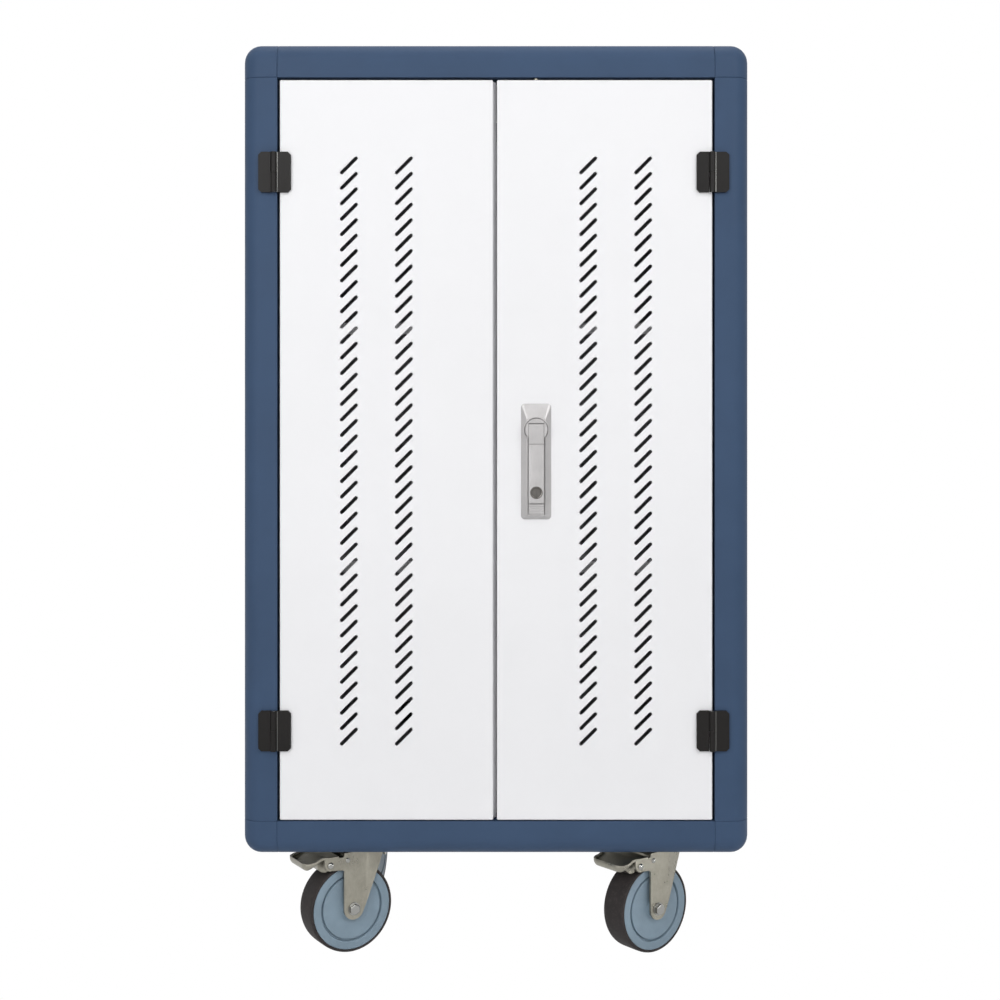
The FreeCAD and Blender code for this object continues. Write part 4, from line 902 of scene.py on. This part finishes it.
for castor in ("front_left", "front_right", "rear_left", "rear_right"):
    place, braked = castor_place(castor), castor.startswith("front")
    for kind, profile in (("_wheel", CORE), ("_tyre", TYRE)):
        bm = turned(profile, Vector((AXLE[0], 0, AXLE[1])), ALONG_Y, WHEEL_STEPS)
        bm.transform(place)
        node = castor + kind
        settle(node + ".moulded", mesh_of(node, bm), node, SHARP_WHEEL)
    fork, pins, pedal = castor + "_fork", castor + "_castor_pins", castor + "_brake_pedal"
    settle(fork + ".pressed", fork_mesh(castor, place), fork)
    settle(fork + ".rivets", rivets_mesh(place), fork, SHARP_CAST, slot="pin_steel",
           replaces=False)
    settle(pins + ".turned", pins_mesh(place, braked), pins, SHARP_CAST)
    if braked:
        settle(pedal + ".pan", pan_mesh(place), pedal, SHARP_PAN)
        settle(pedal + ".bead", bead_mesh(place), pedal, SHARP_PAN, replaces=False)
        settle(pedal + ".ears", ears_mesh(place), pedal, SHARP_EAR, replaces=False)


# Floor and backdrop, light and camera

WHITE = (1, 1, 1, 1)
MATT = (0.86, 0.86, 0.86, 1)
FLOOR_NEAR, FLOOR_FAR, FLOOR_SIDE, WALL_TOP = -8.0, 3.0, 9.0, 7.0
WALL_BEND, WALL_STEPS = 1.5, 16
WORLD_LIGHT, WORLD_BESIDE, WORLD_DIMS = 0.46, 0.14, (0.35, 0.95)
LAMPS = [       # name, place, aim, width, height, watts and cone in degrees
    ("key", (1.7, -2.9, 2.3), (0, 0, 0.7), 1.9, 1.9, 35, 180),
    ("fill", (-1.3, -3.1, 1.7), (0, 0, 0.6), 1.8, 2.1, 37.2, 180),
    ("top", (0, -2.3, 3.1), (0, 0, 0.8), 2.2, 0.9, 6, 180),
    ("crown", (0, -0.1, 2.9), (0, 0, 1.2), 1.6, 1.0, 10, 180),
    ("left_castor", (1.484, -0.514, 0.1), (-0.185, -0.19, 0.1), 0.15, 0.1, 0.02, 12),
    ("right_castor", (1.11, 0.156, 0.1), (0.23, -0.2, 0.1), 0.15, 0.1, 0.009, 16),
    ("inside", (0, FRONT + 0.03, 0.7), (0, 1, 0.7), 0.55, 0.95, 0.07, 180),
]
DISTANCE, FRAME_WIDTH, EYE, MIDDLE, ASIDE, SENSOR = 2.1, 1.36, 0.736, 0.636, 0.0054, 36


def seen_directly(tree):
    """1 for the rays by which the camera, metal and glass see the surroundings, 0 for the rest."""
    path = tree.nodes.new("ShaderNodeLightPath")
    total = path.outputs["Is Camera Ray"]
    for kind in ("Is Glossy Ray", "Is Transmission Ray"):
        add = tree.nodes.new("ShaderNodeMath")
        add.operation, add.use_clamp = "ADD", True
        tree.links.new(total, add.inputs[0])
        tree.links.new(path.outputs[kind], add.inputs[1])
        total = add.outputs[0]
    return total


def mixed_surface(tree, lit, seen, out):
    """Surface that lights the scene with one shader and is seen as another."""
    mixed = tree.nodes.new("ShaderNodeMixShader")
    tree.links.new(seen_directly(tree), mixed.inputs["Fac"])
    tree.links.new(lit.outputs[0], mixed.inputs[1])
    tree.links.new(seen.outputs[0], mixed.inputs[2])
    tree.links.new(mixed.outputs[0], out.inputs["Surface"])


def stage_material():
    """Matt floor that is seen as plain white."""
    mat = bpy.data.materials.new("studio")
    mat.use_nodes = True
    tree = mat.node_tree
    tree.nodes.clear()
    out = tree.nodes.new("ShaderNodeOutputMaterial")
    matt = tree.nodes.new("ShaderNodeBsdfDiffuse")
    matt.inputs["Color"].default_value = MATT
    glow = tree.nodes.new("ShaderNodeEmission")
    glow.inputs["Color"].default_value = WHITE
    mixed_surface(tree, matt, glow, out)
    return mat


def backdrop():
    """Floor that curves up into a wall far behind the cabinet."""
    section = [(FLOOR_NEAR, 0.0), (FLOOR_FAR, 0.0)]
    section += [(FLOOR_FAR + WALL_BEND * math.sin(a), WALL_BEND - WALL_BEND * math.cos(a))
                for a in quarter_turn(WALL_STEPS)[1:]]
    section.append((FLOOR_FAR + WALL_BEND, WALL_TOP))
    bm = bmesh.new()
    rows = [[bm.verts.new((x, y, z)) for y, z in section] for x in (-FLOOR_SIDE, FLOOR_SIDE)]
    for i in range(len(section) - 1):
        bm.faces.new((rows[0][i], rows[1][i], rows[1][i + 1], rows[0][i + 1]))
    mesh = bpy.data.meshes.new("backdrop")
    bm.to_mesh(mesh)
    bm.free()
    mesh.shade_smooth()
    mesh.materials.append(stage_material())
    wall = placed("backdrop", mesh)


def lamp(name, place, aim, width, height, power, cone):
    light = bpy.data.lights.new(name, "AREA")
    light.shape, light.size, light.size_y, light.energy = "RECTANGLE", width, height, power
    light.spread = math.radians(cone)
    shown = placed(name, light)
    shown.location = place
    shown.rotation_euler = (Vector(aim) - Vector(place)).to_track_quat("-Z", "Y").to_euler()


def world():
    """Even light all round that is weaker to the left and the right, seen as plain white."""
    sky = bpy.data.worlds.new("studio")
    bpy.context.scene.world = sky
    sky.use_nodes = True
    tree = sky.node_tree
    base = tree.nodes["Background"]
    base.inputs["Color"].default_value = WHITE
    white = tree.nodes.new("ShaderNodeBackground")
    white.inputs["Color"].default_value, white.inputs["Strength"].default_value = WHITE, 1.0
    where = tree.nodes.new("ShaderNodeTexCoord")
    axes = tree.nodes.new("ShaderNodeSeparateXYZ")
    aside = tree.nodes.new("ShaderNodeMath")
    aside.operation = "ABSOLUTE"
    dimmed = tree.nodes.new("ShaderNodeMapRange")
    dimmed.interpolation_type = "SMOOTHSTEP"
    for socket, value in (("From Min", WORLD_DIMS[0]), ("From Max", WORLD_DIMS[1]),
                          ("To Min", WORLD_LIGHT), ("To Max", WORLD_BESIDE)):
        dimmed.inputs[socket].default_value = value
    tree.links.new(where.outputs["Generated"], axes.inputs[0])
    tree.links.new(axes.outputs["X"], aside.inputs[0])
    tree.links.new(aside.outputs[0], dimmed.inputs["Value"])
    tree.links.new(dimmed.outputs["Result"], base.inputs["Strength"])
    mixed_surface(tree, base, white, tree.nodes["World Output"])


backdrop()
world()
for row in LAMPS:
    lamp(*row)

camera = bpy.data.cameras.new("camera")
camera.sensor_width, camera.sensor_fit = SENSOR, "HORIZONTAL"
camera.lens = SENSOR * DISTANCE / FRAME_WIDTH
camera.shift_y = (MIDDLE - EYE) / FRAME_WIDTH
viewer = placed("camera", camera)
viewer.location = (ASIDE, FRONT - DISTANCE, EYE)
viewer.rotation_euler = (QUARTER, 0, 0)
bpy.context.scene.camera = viewer
bpy.context.scene.view_settings.view_transform = "Standard"
